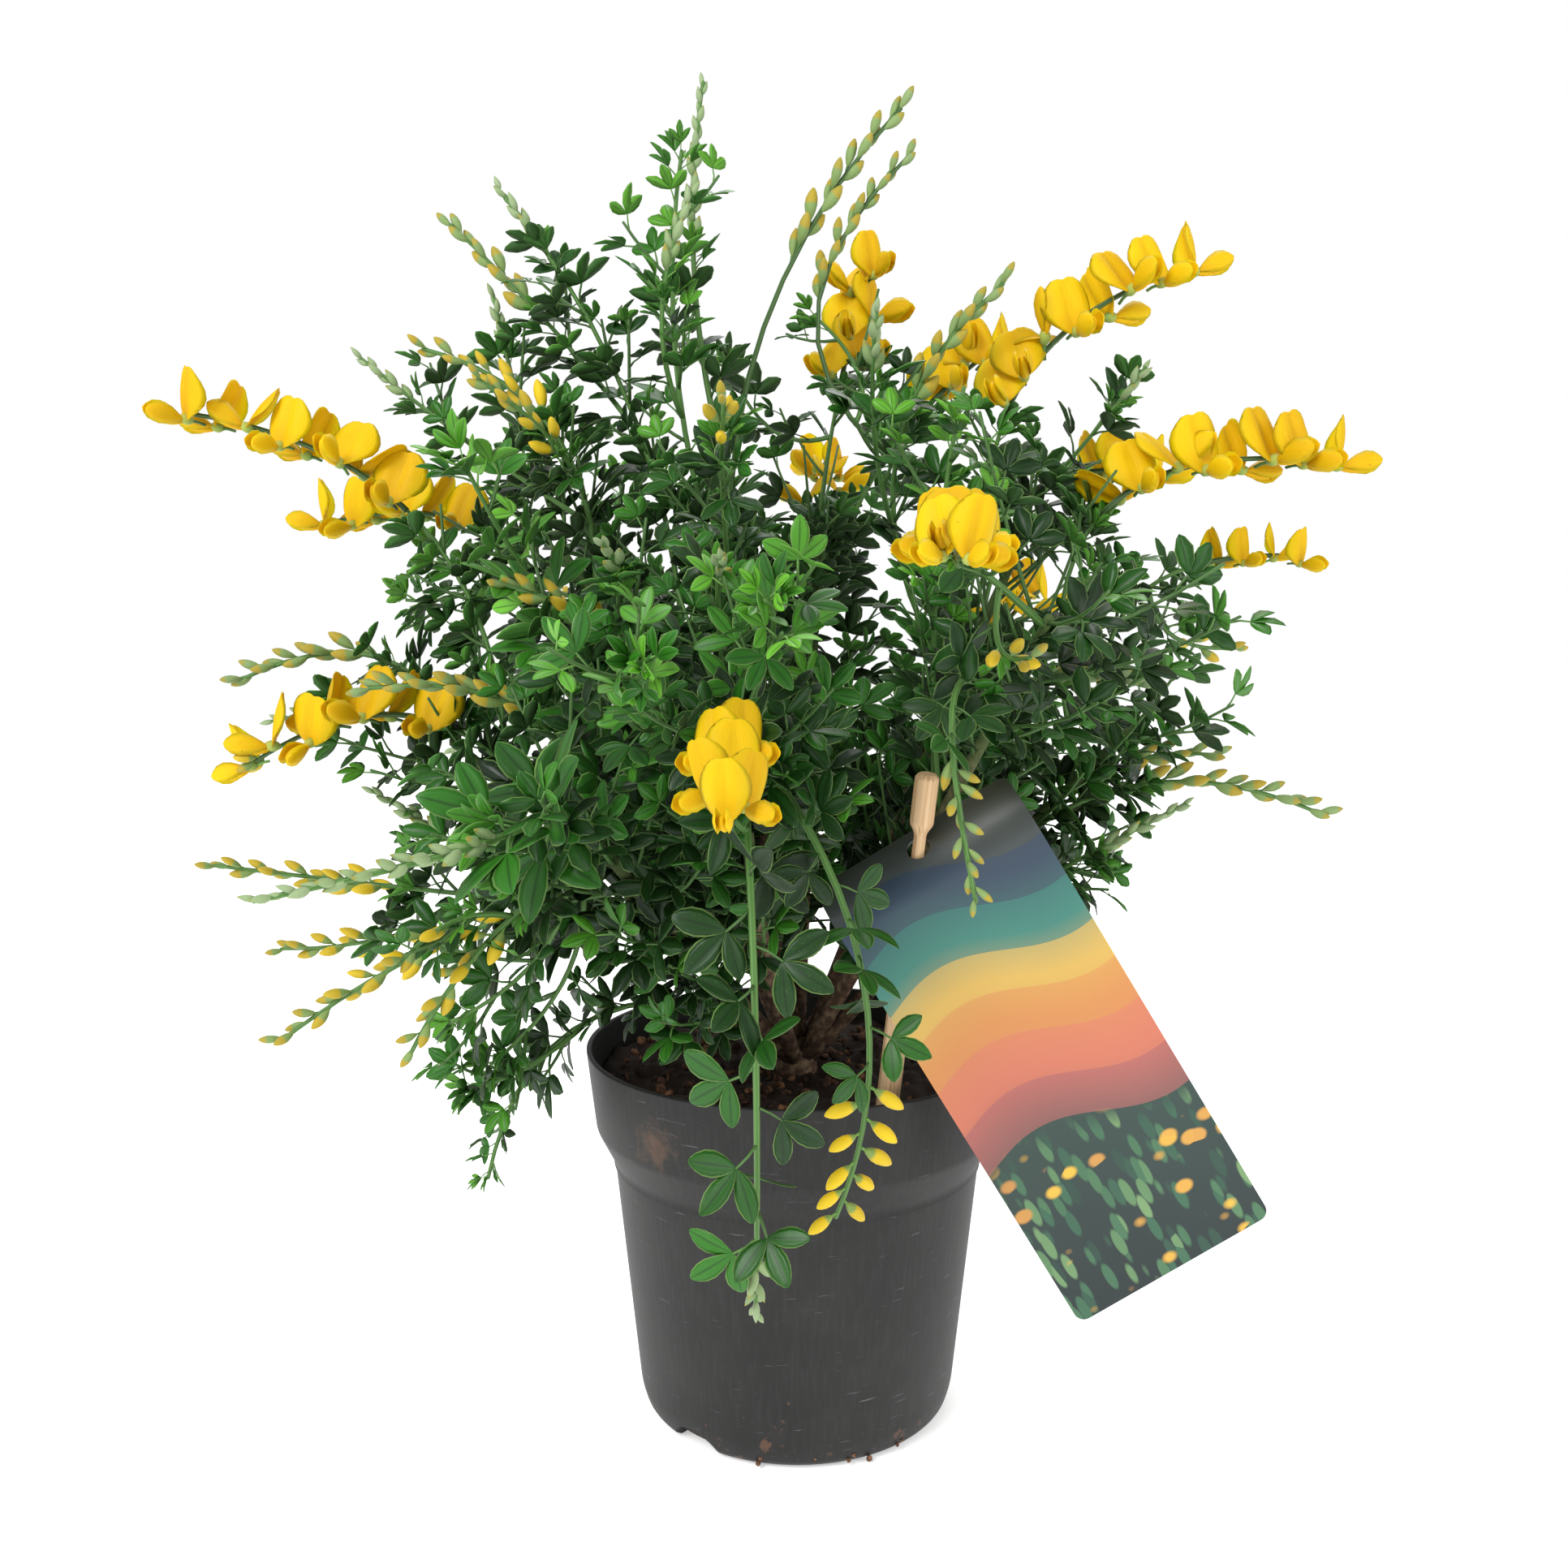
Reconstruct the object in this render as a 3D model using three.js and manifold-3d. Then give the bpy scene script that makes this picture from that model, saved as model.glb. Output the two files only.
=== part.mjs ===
// A broom shrub in its nursery pot, with a wooden stake and a hanging label.
// Millimetres, +Z up. The origin is the centre of the pot's underside; the label faces -Y.
import * as THREE from 'three';
import { mergeVertices } from 'three/addons/utils/BufferGeometryUtils.js';
import Module from 'manifold-3d';

const wasm = await Module();
wasm.setup();

// Driving dimensions

const GAP = 0.35; // between pieces that stand in or against each other
const POT = { rim: 65, height: 114.5, band: 62.2, bandFoot: 90.5, body: 56.8, shoulder: 80 };
const POT_FOOT = { flat: 44.5, heel: 47.6, heelHeight: 2, radius: 49.2, edge: 7 };
const POT_WALL = { side: 1.6, floor: 2.4, innerCorner: 4 };
const POT_ARCH = { width: 18, height: 7, depth: 20 };
const POT_ARCH_AZIMUTHS = [-130, 50]; // degrees round from +X at which drain arches open the foot
const SOIL = { level: 104.5, bump: 1.4, rings: 4, round: 1.5, broad: 3.5, fine: 1.9 };
const TRUNK = { radius: 7, foot: 42, top: 115 };
const LIMB = { root: 2.7, tip: 1.3, sides: 4, steps: 4 };
const STAKE = { radius: 3.25, neck: 1.7, neckHalf: 4.5, above: 21, taper: 7 };
const STAKE_FOOT = [21, -38, 64];
const LABEL_HOLE = [32, -58, 185]; // where the stake's neck goes through the label
const LABEL = { width: 60, length: 145, thickness: 0.8, corner: 3, holeRadius: 3.3, holeDown: 7.5 };
const LABEL_LEAN = 31.5; // degrees that its foot swings to the right
const LABEL_BEND = { start: 20, radius: 15 }; // its top 20 mm curl back over the stake
const STEM = { radius: 0.95, sideRadius: 0.85, sides: 3, steps: 4 };
const LEAF = { stalk: 7.5, stalkHalf: 0.5, thickness: 0.75, notch: 1.1, fan: 58, sag: 0.012 };
const LEAFLET = { length: 13, width: 5.8 };
const LEAF_SPACING = 38;
const BUD = { length: 8, radius: 1.6, spacing: 10.5 };
const SPIKE_BUD = { length: 6, radius: 1.3, spacing: 8.5 };
const FLOWER = { banner: 16, width: 15, reach: 16, stalk: 6, thickness: 1, lean: -8, spacing: 9.5 };
const TURN = 137.5; // degrees from one leaf or bud to the next up a stem
const FLOWER_SIDES = [-62, 48, -20, 80, -90, 22, 62, -44, 104, -108]; // degrees from upright, in turn
const FLOWER_LEVEL = 0.45; // how much of a flower's rise or fall is left when it turns level

// The plant's plan. Limbs are wood: name, root, a point passed, tip.

const LIMBS = [
  ['limb_left_high', [-2, 1, 110], [-33, 6, 194], [-72, 10, 266]],
  ['limb_left', [-3, -1, 110], [-50, -8, 162], [-102, -12, 209]],
  ['limb_left_front', [-2, -3, 110], [-36, -46, 162], [-60, -92, 204]],
  ['limb_front', [-1, -4, 110], [-12, -48, 170], [-14, -88, 220]],
  ['limb_right_front', [2, -3, 110], [38, -30, 184], [62, -80, 247]],
  ['limb_right', [4, -1, 110], [50, -6, 162], [98, -10, 212]],
  ['limb_right_high', [3, 1, 110], [36, 8, 194], [70, 8, 272]],
  ['limb_top', [0, 1, 110], [-14, 4, 210], [-24, 2, 304]],
  ['limb_right_back', [2, 3, 110], [36, 48, 172], [66, 84, 236]],
  ['limb_back', [0, 4, 110], [4, 46, 190], [8, 74, 279]],
  ['limb_left_back', [-2, 3, 110], [-36, 48, 169], [-74, 78, 221]],
];

// Shoots: name, what it grows from, how far along that, a point passed, tip,
// what its end carries and over what length. One that grows from a shoot is fused to it.
const SHOOTS = [
  ['top_leafy', 'limb_top', 0.7, [-36, -8, 343], [-33, -8, 377], 'leaves', 0],
  ['top_leafy_side', 'top_leafy', 0.45, [-38, -22, 329], [-29, -25, 362], 'spike', 24],
  ['top_spike', 'limb_top', 0.97, [-31, 12, 351], [-28, 16, 403], 'spike', 48],
  ['right_wand', 'limb_top', 0.62, [0, -8, 350], [29, -10, 388], 'buds', 54],
  ['right_wand_back', 'limb_right_high', 0.97, [7, 36, 344], [35, 40, 388], 'buds', 56],
  ['upper_left', 'limb_left_high', 0.55, [-66, 4, 340], [-87, 0, 369], 'spike', 20],
  ['upper_left_side', 'upper_left', 0.55, [-78, 20, 336], [-106, 24, 364], 'buds', 40],
  ['dark_spike', 'limb_left_high', 0.97, [-88, 26, 317], [-94, 28, 344], 'spike', 20],
  ['left_arm', 'limb_left_high', 0.88, [-84, 0, 312], [-109, -4, 323], 'buds', 42],
  ['far_left', 'left_arm', 0.25, [-113, 10, 308], [-132, 12, 323], 'spike', 22],
  ['left_arm_side', 'left_arm', 0.35, [-74, -22, 300], [-88, -32, 311], 'buds', 36],
  ['bloom_left_top', 'limb_left', 0.85, [-114, -6, 276], [-187, -14, 305], 'flowers', 80],
  ['bloom_left_back', 'limb_left_back', 0.92, [-112, 46, 276], [-161, 44, 272], 'flowers', 58],
  ['left_small', 'bloom_left_back', 0.5, [-108, 26, 251], [-124, 28, 250], 'leaves', 0],
  ['left_low', 'limb_left', 0.97, [-126, 2, 233], [-165, -8, 227], 'buds', 44],
  ['left_low_side', 'left_low', 0.42, [-142, 8, 218], [-163, 10, 213], 'spike', 24],
  ['left_mid', 'limb_left', 0.62, [-82, -38, 223], [-117, -46, 227], 'buds', 48],
  ['bloom_left_low', 'limb_left', 0.75, [-104, -18, 215], [-166, -30, 197], 'flowers', 72],
  ['front_spike', 'limb_left_front', 0.97, [-66, -128, 200], [-111, -160, 192], 'spike', 56],
  ['left_hook', 'limb_left', 0.45, [-124, -4, 164], [-172, -18, 173], 'buds', 56],
  ['left_hook_side', 'left_hook', 0.4, [-120, 6, 148], [-160, 2, 143], 'buds', 34],
  ['left_droop', 'limb_left_front', 0.66, [-105, -44, 153], [-143, -52, 130], 'buds', 56],
  ['left_droop_side', 'left_droop', 0.3, [-98, -26, 180], [-123, -24, 196], 'spike', 26],
  ['left_front_droop', 'limb_left_front', 0.8, [-72, -76, 172], [-99, -84, 137], 'buds', 46],
  ['left_front_side', 'left_front_droop', 0.4, [-84, -84, 172], [-98, -96, 163], 'buds', 20],
  ['rim_droop', 'limb_left_front', 0.2, [-64, -22, 126], [-92, -26, 80], 'leaves', 0],
  ['hanging_leafy', 'limb_front', 0.88, [-11, -122, 172], [-11, -104, 76], 'spike', 26],
  ['front_fresh', 'hanging_leafy', 0.15, [-36, -100, 221], [-32, -140, 237], 'leaves', 0],
  ['hanging_buds', 'limb_front', 0.98, [12, -108, 174], [9, -94, 97], 'buds', 44],
  ['label_buds', 'limb_right_front', 0.8, [35, -108, 226], [40, -118, 183], 'buds', 36],
  ['bloom_front_low', 'limb_front', 0.97, [-16, -128, 218], [-14, -172, 207], 'flowers', 46],
  ['fresh_centre', 'bloom_front_low', 0.3, [-8, -106, 238], [-8, -134, 252], 'leaves', 0],
  ['bloom_front_high', 'limb_right_front', 0.98, [38, -118, 260], [29, -176, 258], 'flowers', 54],
  ['front_high_side', 'bloom_front_high', 0.25, [46, -100, 244], [51, -120, 239], 'buds', 20],
  ['top_front', 'limb_top', 0.45, [-20, -58, 280], [-18, -96, 298], 'buds', 22],
  ['centre_spike', 'limb_front', 0.72, [-20, -86, 247], [-18, -118, 261], 'spike', 18],
  ['centre_buds', 'limb_left_front', 0.62, [-52, -62, 244], [-76, -66, 255], 'buds', 30],
  ['fresh_left', 'centre_buds', 0.35, [-71, -58, 257], [-82, -84, 285], 'leaves', 0],
  ['centre_buds_side', 'centre_buds', 0.5, [-44, -72, 256], [-48, -88, 265], 'spike', 16],
  ['right_top', 'limb_right_high', 0.7, [34, -16, 310], [57, -22, 338], 'buds', 44],
  ['right_top_side', 'right_top', 0.4, [20, -38, 304], [20, -54, 326], 'spike', 20],
  ['bloom_back_top', 'limb_back', 0.95, [16, 72, 326], [27, 74, 368], 'flowers', 48],
  ['bloom_back_right', 'limb_back', 0.75, [44, 66, 314], [76, 64, 339], 'flowers', 40],
  ['fresh_right', 'limb_right_front', 0.55, [38, -56, 278], [41, -70, 304], 'leaves', 0],
  ['bloom_right_top', 'limb_right_high', 0.9, [62, -8, 308], [120, -14, 347], 'flowers', 78],
  ['bloom_right', 'limb_right', 0.86, [88, -16, 276], [161, -28, 287], 'flowers', 80],
  ['bloom_right_back', 'limb_right_back', 0.98, [97, 56, 292], [126, 52, 287], 'flowers', 36],
  ['right_back_side', 'bloom_right_back', 0.5, [96, 40, 304], [110, 34, 323], 'spike', 14],
  ['bloom_right_low', 'limb_right', 0.95, [100, 8, 247], [161, 6, 263], 'flowers', 40],
  ['right_low_side', 'bloom_right_low', 0.5, [118, 22, 239], [141, 28, 235], 'buds', 24],
  ['right_leafy', 'limb_right', 0.6, [74, -42, 230], [93, -52, 228], 'spike', 30],
  ['right_long', 'limb_right', 0.5, [98, -14, 196], [152, -22, 189], 'buds', 56],
  ['right_long_side', 'right_long', 0.45, [98, 0, 200], [126, -2, 204], 'buds', 34],
  ['right_fringe', 'limb_right', 0.3, [81, -26, 176], [109, -36, 194], 'spike', 30],
  ['right_fringe_side', 'right_fringe', 0.35, [74, -6, 170], [92, -4, 167], 'leaves', 0],
  ['bloom_behind', 'limb_back', 0.85, [10, 112, 286], [12, 150, 304], 'flowers', 50],
  ['behind_left', 'limb_left_back', 0.97, [-84, 108, 244], [-92, 134, 256], 'buds', 40],
  ['behind_low', 'behind_left', 0.3, [-106, 92, 218], [-126, 98, 194], 'spike', 26],
  ['bloom_behind_right', 'limb_right_back', 0.85, [80, 104, 244], [98, 134, 254], 'flowers', 50],
  ['behind_right_low', 'limb_right_back', 0.55, [52, 96, 184], [60, 138, 194], 'buds', 40],
  ['behind_low_mid', 'limb_left_back', 0.5, [-30, 92, 194], [-36, 140, 220], 'buds', 36],
  ['back_leafy', 'limb_back', 0.62, [-12, 84, 262], [-30, 106, 292], 'leaves', 0],
  ['back_leafy_low', 'back_leafy', 0.35, [-26, 92, 250], [-54, 112, 256], 'leaves', 0],
  ['behind_left_high', 'behind_left', 0.15, [-68, 92, 258], [-62, 98, 292], 'leaves', 0],
  ['behind_left_mid', 'behind_left', 0.45, [-64, 110, 238], [-44, 126, 234], 'leaves', 0],
  ['left_back_high', 'bloom_left_back', 0.3, [-90, 60, 274], [-92, 68, 302], 'leaves', 0],
  ['top_back', 'top_spike', 0.2, [-30, 26, 324], [-42, 42, 342], 'leaves', 0],
  ['wand_back_low', 'right_wand_back', 0.4, [20, 44, 322], [6, 56, 342], 'leaves', 0],
  ['back_top_side', 'bloom_back_top', 0.35, [-4, 84, 306], [-24, 86, 332], 'leaves', 0],
  ['behind_right_side', 'behind_right_low', 0.3, [72, 100, 198], [90, 110, 210], 'leaves', 0],
];

const vector = ([x, y, z]) => new THREE.Vector3(x, y, z);
const radians = THREE.MathUtils.degToRad;

// Closed solids from three.js geometry

function solidOf(geometry) {
  const bare = geometry.clone();
  bare.deleteAttribute('normal');
  bare.deleteAttribute('uv');
  const merged = mergeVertices(bare, 1e-4);
  const vertProperties = new Float32Array(merged.attributes.position.array);
  const triVerts = new Uint32Array(merged.index.array);
  return new wasm.Manifold(new wasm.Mesh({ numProp: 3, vertProperties, triVerts }));
}

function geometryOf(solid) {
  const mesh = solid.getMesh();
  const places = new Float32Array(mesh.numVert * 3);
  for (let i = 0; i < mesh.numVert; i++) {
    places.set(mesh.vertProperties.subarray(i * mesh.numProp, i * mesh.numProp + 3), i * 3);
  }
  const geometry = new THREE.BufferGeometry();
  geometry.setAttribute('position', new THREE.BufferAttribute(places, 3));
  geometry.setIndex(new THREE.BufferAttribute(mesh.triVerts, 1));
  return geometry;
}

// A round body turned about the Z axis from a profile of [radius, height] points.
function turned(profile, segments) {
  const points = profile.map(([r, z]) => new THREE.Vector2(r, z));
  return new THREE.LatheGeometry(points, segments).rotateX(Math.PI / 2);
}

function cylinder(radius, length, sides) {
  return new THREE.CylinderGeometry(radius, radius, length, sides).rotateX(Math.PI / 2);
}

// Moves every vertex of a unit sphere by a rule, so that a sphere becomes a bud, a blade or a petal.
function shaped(sphere, rule) {
  const places = sphere.getAttribute('position');
  for (let i = 0; i < places.count; i++) {
    const [x, y, z] = rule(places.getX(i), places.getY(i), places.getZ(i));
    places.setXYZ(i, x, y, z);
  }
  return sphere;
}

// Stems

// A stem's line: it leaves its root, passes a point and ends at its tip.
function stemLine(root, pass, tip) {
  const before = root.distanceTo(pass);
  const t = before / (before + pass.distanceTo(tip));
  const control = pass.clone();
  control.addScaledVector(root, -((1 - t) ** 2)).addScaledVector(tip, -(t ** 2));
  control.divideScalar(2 * t * (1 - t));
  return new THREE.QuadraticBezierCurve3(root, control, tip);
}

// The stretch of a line between two fractions of its length.
class Stretch extends THREE.Curve {
  constructor(line, from, to) {
    super();
    Object.assign(this, { line, from, to });
  }
  getPoint(t, target = new THREE.Vector3()) {
    return this.line.getPointAt(this.from + (this.to - this.from) * t, target);
  }
}

// A tube along a line, with its radius at each fraction of the length.
function tube(line, sides, steps, radiusAt) {
  const hub = new THREE.Vector2();
  const corners = Array.from({ length: sides }, (_, i) => (
    new THREE.Vector2(0.5, 0).rotateAround(hub, i / sides * 2 * Math.PI)
  ));
  const ring = new THREE.Shape(corners);
  const geometry = new THREE.ExtrudeGeometry(ring, { steps, bevelEnabled: false, extrudePath: line });
  const centres = line.getSpacedPoints(steps);
  const places = geometry.getAttribute('position');
  const place = new THREE.Vector3();
  for (let i = 0; i < places.count; i++) {
    place.fromBufferAttribute(places, i);
    const near = centres.reduce((a, b) => (place.distanceToSquared(b) < place.distanceToSquared(a) ? b : a));
    const radius = radiusAt(centres.indexOf(near) / steps);
    place.sub(near).multiplyScalar(2 * radius).add(near);
    places.setXYZ(i, place.x, place.y, place.z);
  }
  return geometry;
}

// Pot, soil, stake and label

// The pot's inside from its rim down to the middle of its floor, drawn in by a gap.
function potInside(gap) {
  const inset = POT_WALL.side + gap;
  const slack = 0.8 + gap; // the slanted walls keep their thickness by starting this much higher inside
  return [
    [POT.rim - inset, POT.height],
    [POT.band - inset, POT.bandFoot + slack],
    [POT.body - inset, POT.shoulder + slack],
    [POT_FOOT.radius - inset, POT_FOOT.edge + gap],
    [POT_FOOT.radius - POT_WALL.innerCorner - gap, POT_WALL.floor + gap],
    [0, POT_WALL.floor + gap],
  ];
}

function makePot() {
  const outside = [
    [0, 0],
    [POT_FOOT.flat, 0],
    [POT_FOOT.heel, POT_FOOT.heelHeight],
    [POT_FOOT.radius, POT_FOOT.edge],
    [POT.body, POT.shoulder],
    [POT.band, POT.bandFoot],
    [POT.rim, POT.height],
  ];
  let pot = solidOf(turned([...outside, ...potInside(0)], 30));
  const half = POT_ARCH.width / 2;
  for (const azimuth of POT_ARCH_AZIMUTHS) {
    const arch = new THREE.CylinderGeometry(half, half, POT_ARCH.depth, 12);
    arch.scale(1, 1, POT_ARCH.height / half).rotateZ(Math.PI / 2);
    arch.translate(POT_FOOT.radius, 0, 0).rotateZ(radians(azimuth));
    pot = pot.subtract(solidOf(arch));
  }
  return pot;
}

// Soil fills the pot to its level, with a lumpy top and plain holes for the trunk and the stake.
function makeSoil() {
  const [rim, band, ...below] = potInside(GAP);
  const top = THREE.MathUtils.mapLinear(SOIL.level, band[1], rim[1], band[0], rim[0]);
  const edge = [[top - 0.4, SOIL.level - 2]];
  const rings = Array.from({ length: SOIL.rings }, (_, i) => [
    (top - SOIL.round) * (1 - i / (SOIL.rings - 1)), SOIL.level,
  ]);
  const heap = shaped(turned([...below.reverse(), band, ...edge, ...rings], 18), (x, y, z) => {
    const broad = Math.sin(x / SOIL.broad + 1) * Math.cos(y / SOIL.broad);
    const fine = 0.6 * Math.sin((x - y) / SOIL.fine);
    return [x, y, z > SOIL.level - 1 ? z + SOIL.bump * (broad + fine) : z];
  });
  const tall = 200; // a hole's cutter, long enough to leave the soil
  const trunkHole = cylinder(TRUNK.radius + GAP, tall, 12).translate(0, 0, TRUNK.foot - GAP + tall / 2);
  const stakeHole = stakePlace(cylinder(STAKE.radius + GAP, tall, 12), tall / 2 - 1);
  return solidOf(heap).subtract(solidOf(trunkHole)).subtract(solidOf(stakeHole));
}

// Stands a body that was made upright on the origin along the stake's line.
function stakePlace(geometry, rise) {
  const lean = vector(LABEL_HOLE).sub(vector(STAKE_FOOT)).normalize();
  const turn = new THREE.Quaternion().setFromUnitVectors(new THREE.Vector3(0, 0, 1), lean);
  const foot = vector(STAKE_FOOT);
  return geometry.translate(0, 0, rise).applyQuaternion(turn).translate(foot.x, foot.y, foot.z);
}

function makeStake() {
  const { radius, neck, neckHalf, above, taper } = STAKE;
  const hole = vector(LABEL_HOLE).distanceTo(vector(STAKE_FOOT));
  const profile = [
    [0, 0],
    [radius - 2, 0],
    [radius, 8],
    [radius, hole - taper],
    [neck, hole - neckHalf],
    [neck, hole + neckHalf],
    [radius, hole + taper],
    [radius, hole + above - 1],
    [radius - 1, hole + above],
    [0, hole + above],
  ];
  return solidOf(stakePlace(turned(profile, 10), 0));
}

// The label is drawn flat, its top is curled back over the stake, and then it is leaned and hung.
function makeLabel() {
  const { width, length, thickness, corner, holeRadius, holeDown } = LABEL;
  const { start, radius } = LABEL_BEND;
  const curlFoot = length / 2 - start;
  const curl = (down) => Math.max(0, start - down) / radius;
  const onCurl = (down, depth) => [
    Math.min(length / 2 - down, curlFoot) + (radius + depth) * Math.sin(curl(down)),
    (radius + depth) * Math.cos(curl(down)) - radius,
  ];
  const rows = 6;
  const sheet = shaped(new THREE.BoxGeometry(width, rows, thickness, 1, rows, 1), (x, y, z) => {
    const row = rows / 2 - y;
    return [x, ...onCurl(row > rows - 0.5 ? length : start * row / (rows - 1), z)];
  });
  const [top] = onCurl(0, 0);
  const half = width / 2;
  const outline = new THREE.Shape();
  outline.absarc(half - corner, corner - length / 2, corner, -Math.PI / 2, 0, false);
  outline.absarc(half - corner, top - corner, corner, 0, Math.PI / 2, false);
  outline.absarc(corner - half, top - corner, corner, Math.PI / 2, Math.PI, false);
  outline.absarc(corner - half, corner - length / 2, corner, Math.PI, 1.5 * Math.PI, false);
  const cutter = new THREE.ExtrudeGeometry(outline, { depth: 60, bevelEnabled: false, curveSegments: 3 });
  const [holeUp, holeBack] = onCurl(holeDown, 0);
  const punch = new THREE.CylinderGeometry(holeRadius, holeRadius, 8, 16);
  punch.rotateX(Math.PI / 2 - curl(holeDown));
  const flat = solidOf(sheet).intersect(solidOf(cutter.translate(0, 0, -30)));
  const punched = geometryOf(flat.subtract(solidOf(punch.translate(0, holeUp, holeBack))));
  const hole = vector(LABEL_HOLE);
  punched.translate(0, -holeUp, -holeBack).rotateX(Math.PI / 2).rotateY(-radians(LABEL_LEAN));
  return solidOf(punched.translate(hole.x, hole.y, hole.z));
}

// Wood

const limbs = new Map();
for (const [name, root, pass, tip] of LIMBS) {
  limbs.set(name, { line: stemLine(vector(root), vector(pass), vector(tip)) });
}

function makeWood() {
  const trunk = new THREE.CylinderGeometry(TRUNK.radius - 1, TRUNK.radius, TRUNK.top - TRUNK.foot, 10);
  trunk.rotateX(Math.PI / 2).translate(0, 0, (TRUNK.top + TRUNK.foot) / 2);
  const thickness = (along) => THREE.MathUtils.lerp(LIMB.root, LIMB.tip, along);
  const limbTube = ({ line }) => solidOf(tube(line, LIMB.sides, LIMB.steps, thickness));
  return [...limbs.values()].reduce((wood, limb) => wood.add(limbTube(limb)), solidOf(trunk));
}

const wood = makeWood();

// How far along its line a shoot's flat start first stands a small gap clear of the wood it grows from.
function clearStart(line, radius) {
  const gapAlong = GAP / line.getLength();
  for (let start = gapAlong; start < 0.5; start += 0.002) {
    const reach = new Stretch(line, start - gapAlong, start + 0.2);
    if (solidOf(tube(reach, STEM.sides, 2, () => radius + GAP)).intersect(wood).isEmpty()) return start;
  }
  throw new Error('a shoot never leaves its limb');
}

// Leaves, buds and flowers, each drawn once, growing along +X from a root at the origin.
// Their upper side faces +Z.

// Three leaflets cut to the rib in one thin arched blade's outline, with their stalk.
function makeLeaf() {
  const { stalk, stalkHalf, thickness, notch, fan, sag } = LEAF;
  const half = LEAFLET.width / 2;
  const turnedOut = (x, y, degrees) => {
    const corner = new THREE.Vector2(x, y).rotateAround(new THREE.Vector2(), radians(degrees));
    return [stalk + corner.x, corner.y];
  };
  const corners = [[0, -stalkHalf], [stalk - 0.8, -stalkHalf]];
  for (const turn of [-fan, 0, fan]) {
    const reach = (turn ? 0.92 : 1) * LEAFLET.length;
    const wide = 0.56 * reach;
    if (turn > -fan) corners.push(turnedOut(notch, 0, turn - fan / 2));
    corners.push(turnedOut(wide, -half, turn), turnedOut(reach, 0, turn), turnedOut(wide, half, turn));
  }
  corners.push([stalk - 0.8, stalkHalf], [0, stalkHalf]);
  const outline = new THREE.Shape(corners.map(([x, y]) => new THREE.Vector2(x, y)));
  const leaf = new THREE.ExtrudeGeometry(outline, { depth: thickness, bevelEnabled: false });
  const arch = (x, y) => sag * (stalk * stalk - (x - stalk) ** 2 - 2 * y * y);
  return shaped(leaf, (x, y, z) => [x, y, z - thickness / 2 + arch(x, y)]);
}

function makeBud({ length, radius }, sides = 3) {
  return shaped(new THREE.SphereGeometry(1, sides, 2), (x, y, z) => [
    length * (1 + y) / 2, x * radius, -z * radius,
  ]);
}

// A pea flower: a round notched banner standing up, and its calyx and keel held out under it in one spindle.
function makeFlower() {
  const { banner, width, reach, stalk, thickness, lean } = FLOWER;
  const keel = makeBud({ length: reach, radius: 2.4 }, 4);
  const standard = shaped(new THREE.SphereGeometry(1, 6, 2), (x, y, z) => [
    (Math.abs(y) < 0.5 ? 1.5 * z * z - 1 : 0) + y * thickness / 2,
    z * width / 1.73 * (x > 0 ? 1 : 0.85),
    banner * (x > 0.9 ? 0.86 : (x > 0 ? 0.94 : (x < -0.9 ? 0 : 0.34))),
  ]);
  standard.rotateY(radians(lean)).translate(stalk, 0, -0.8);
  return geometryOf(solidOf(keel).add(solidOf(standard)));
}

const leafShape = makeLeaf();
const budShape = makeBud(BUD);
const spikeBudShape = makeBud(SPIKE_BUD);
const flowerShape = makeFlower();

// What stands where: every finished solid with its node's name, so that nothing new crosses another node.

const placed = [];

function boxesMeet(a, b) {
  return [0, 1, 2].every((k) => a.min[k] < b.max[k] + GAP && b.min[k] < a.max[k] + GAP);
}

function keep(owner, solid) {
  placed.push({ owner, solid, box: solid.boundingBox() });
}

function crossesOthers(owner, solid) {
  const box = solid.boundingBox();
  return placed.some((other) => other.owner !== owner && boxesMeet(box, other.box)
    && !solid.intersect(other.solid).isEmpty());
}

function standing(forward, across, place) {
  return new THREE.Matrix4().makeBasis(forward, across, forward.clone().cross(across)).setPosition(place);
}

// A leaf's or bud's frame: how far along a line, how far round it, leaning how far from it.
function leafFrame(line, along, azimuth, lean) {
  const axis = line.getTangentAt(along);
  const up = Math.abs(axis.z) > 0.95 ? new THREE.Vector3(0, 1, 0) : new THREE.Vector3(0, 0, 1);
  const out = axis.clone().cross(up).normalize().applyAxisAngle(axis, radians(azimuth));
  const forward = axis.clone().multiplyScalar(Math.cos(radians(lean)));
  forward.addScaledVector(out, Math.sin(radians(lean))).normalize();
  const across = axis.clone().addScaledVector(up, 0.5).cross(forward).normalize();
  return standing(forward, across, line.getPointAt(along));
}

// A flower's frame: it leaves its raceme to one side of upright, turns level and holds its banner up.
function flowerFrame(line, along, fromUpright) {
  const axis = line.getTangentAt(along);
  const up = Math.abs(axis.z) > 0.85 ? new THREE.Vector3(0, -1, 0) : new THREE.Vector3(0, 0, 1);
  const out = axis.clone().cross(up).normalize().applyAxisAngle(axis, radians(fromUpright - 90));
  const forward = axis.clone().multiplyScalar(0.5).addScaledVector(out, 0.85);
  forward.z *= FLOWER_LEVEL;
  const across = new THREE.Vector3(0, 0, 1).cross(forward.normalize()).normalize();
  return standing(forward, across, line.getPointAt(along));
}

// Places one piece where it crosses no other node, turning it round the stem until it does not.
// Where every turn is taken, the place stays empty.
function grow(owner, shape, frameAt) {
  for (const turn of [0, 40, -40, 80, -80, 120, -120, 180]) {
    const frame = frameAt(turn);
    const roomy = frame.clone().scale(new THREE.Vector3(1.04, 1.06, 1.25));
    if (crossesOthers(owner, solidOf(shape.clone().applyMatrix4(roomy)))) continue;
    keep(owner, solidOf(shape.clone().applyMatrix4(frame)));
    return;
  }
}

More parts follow.
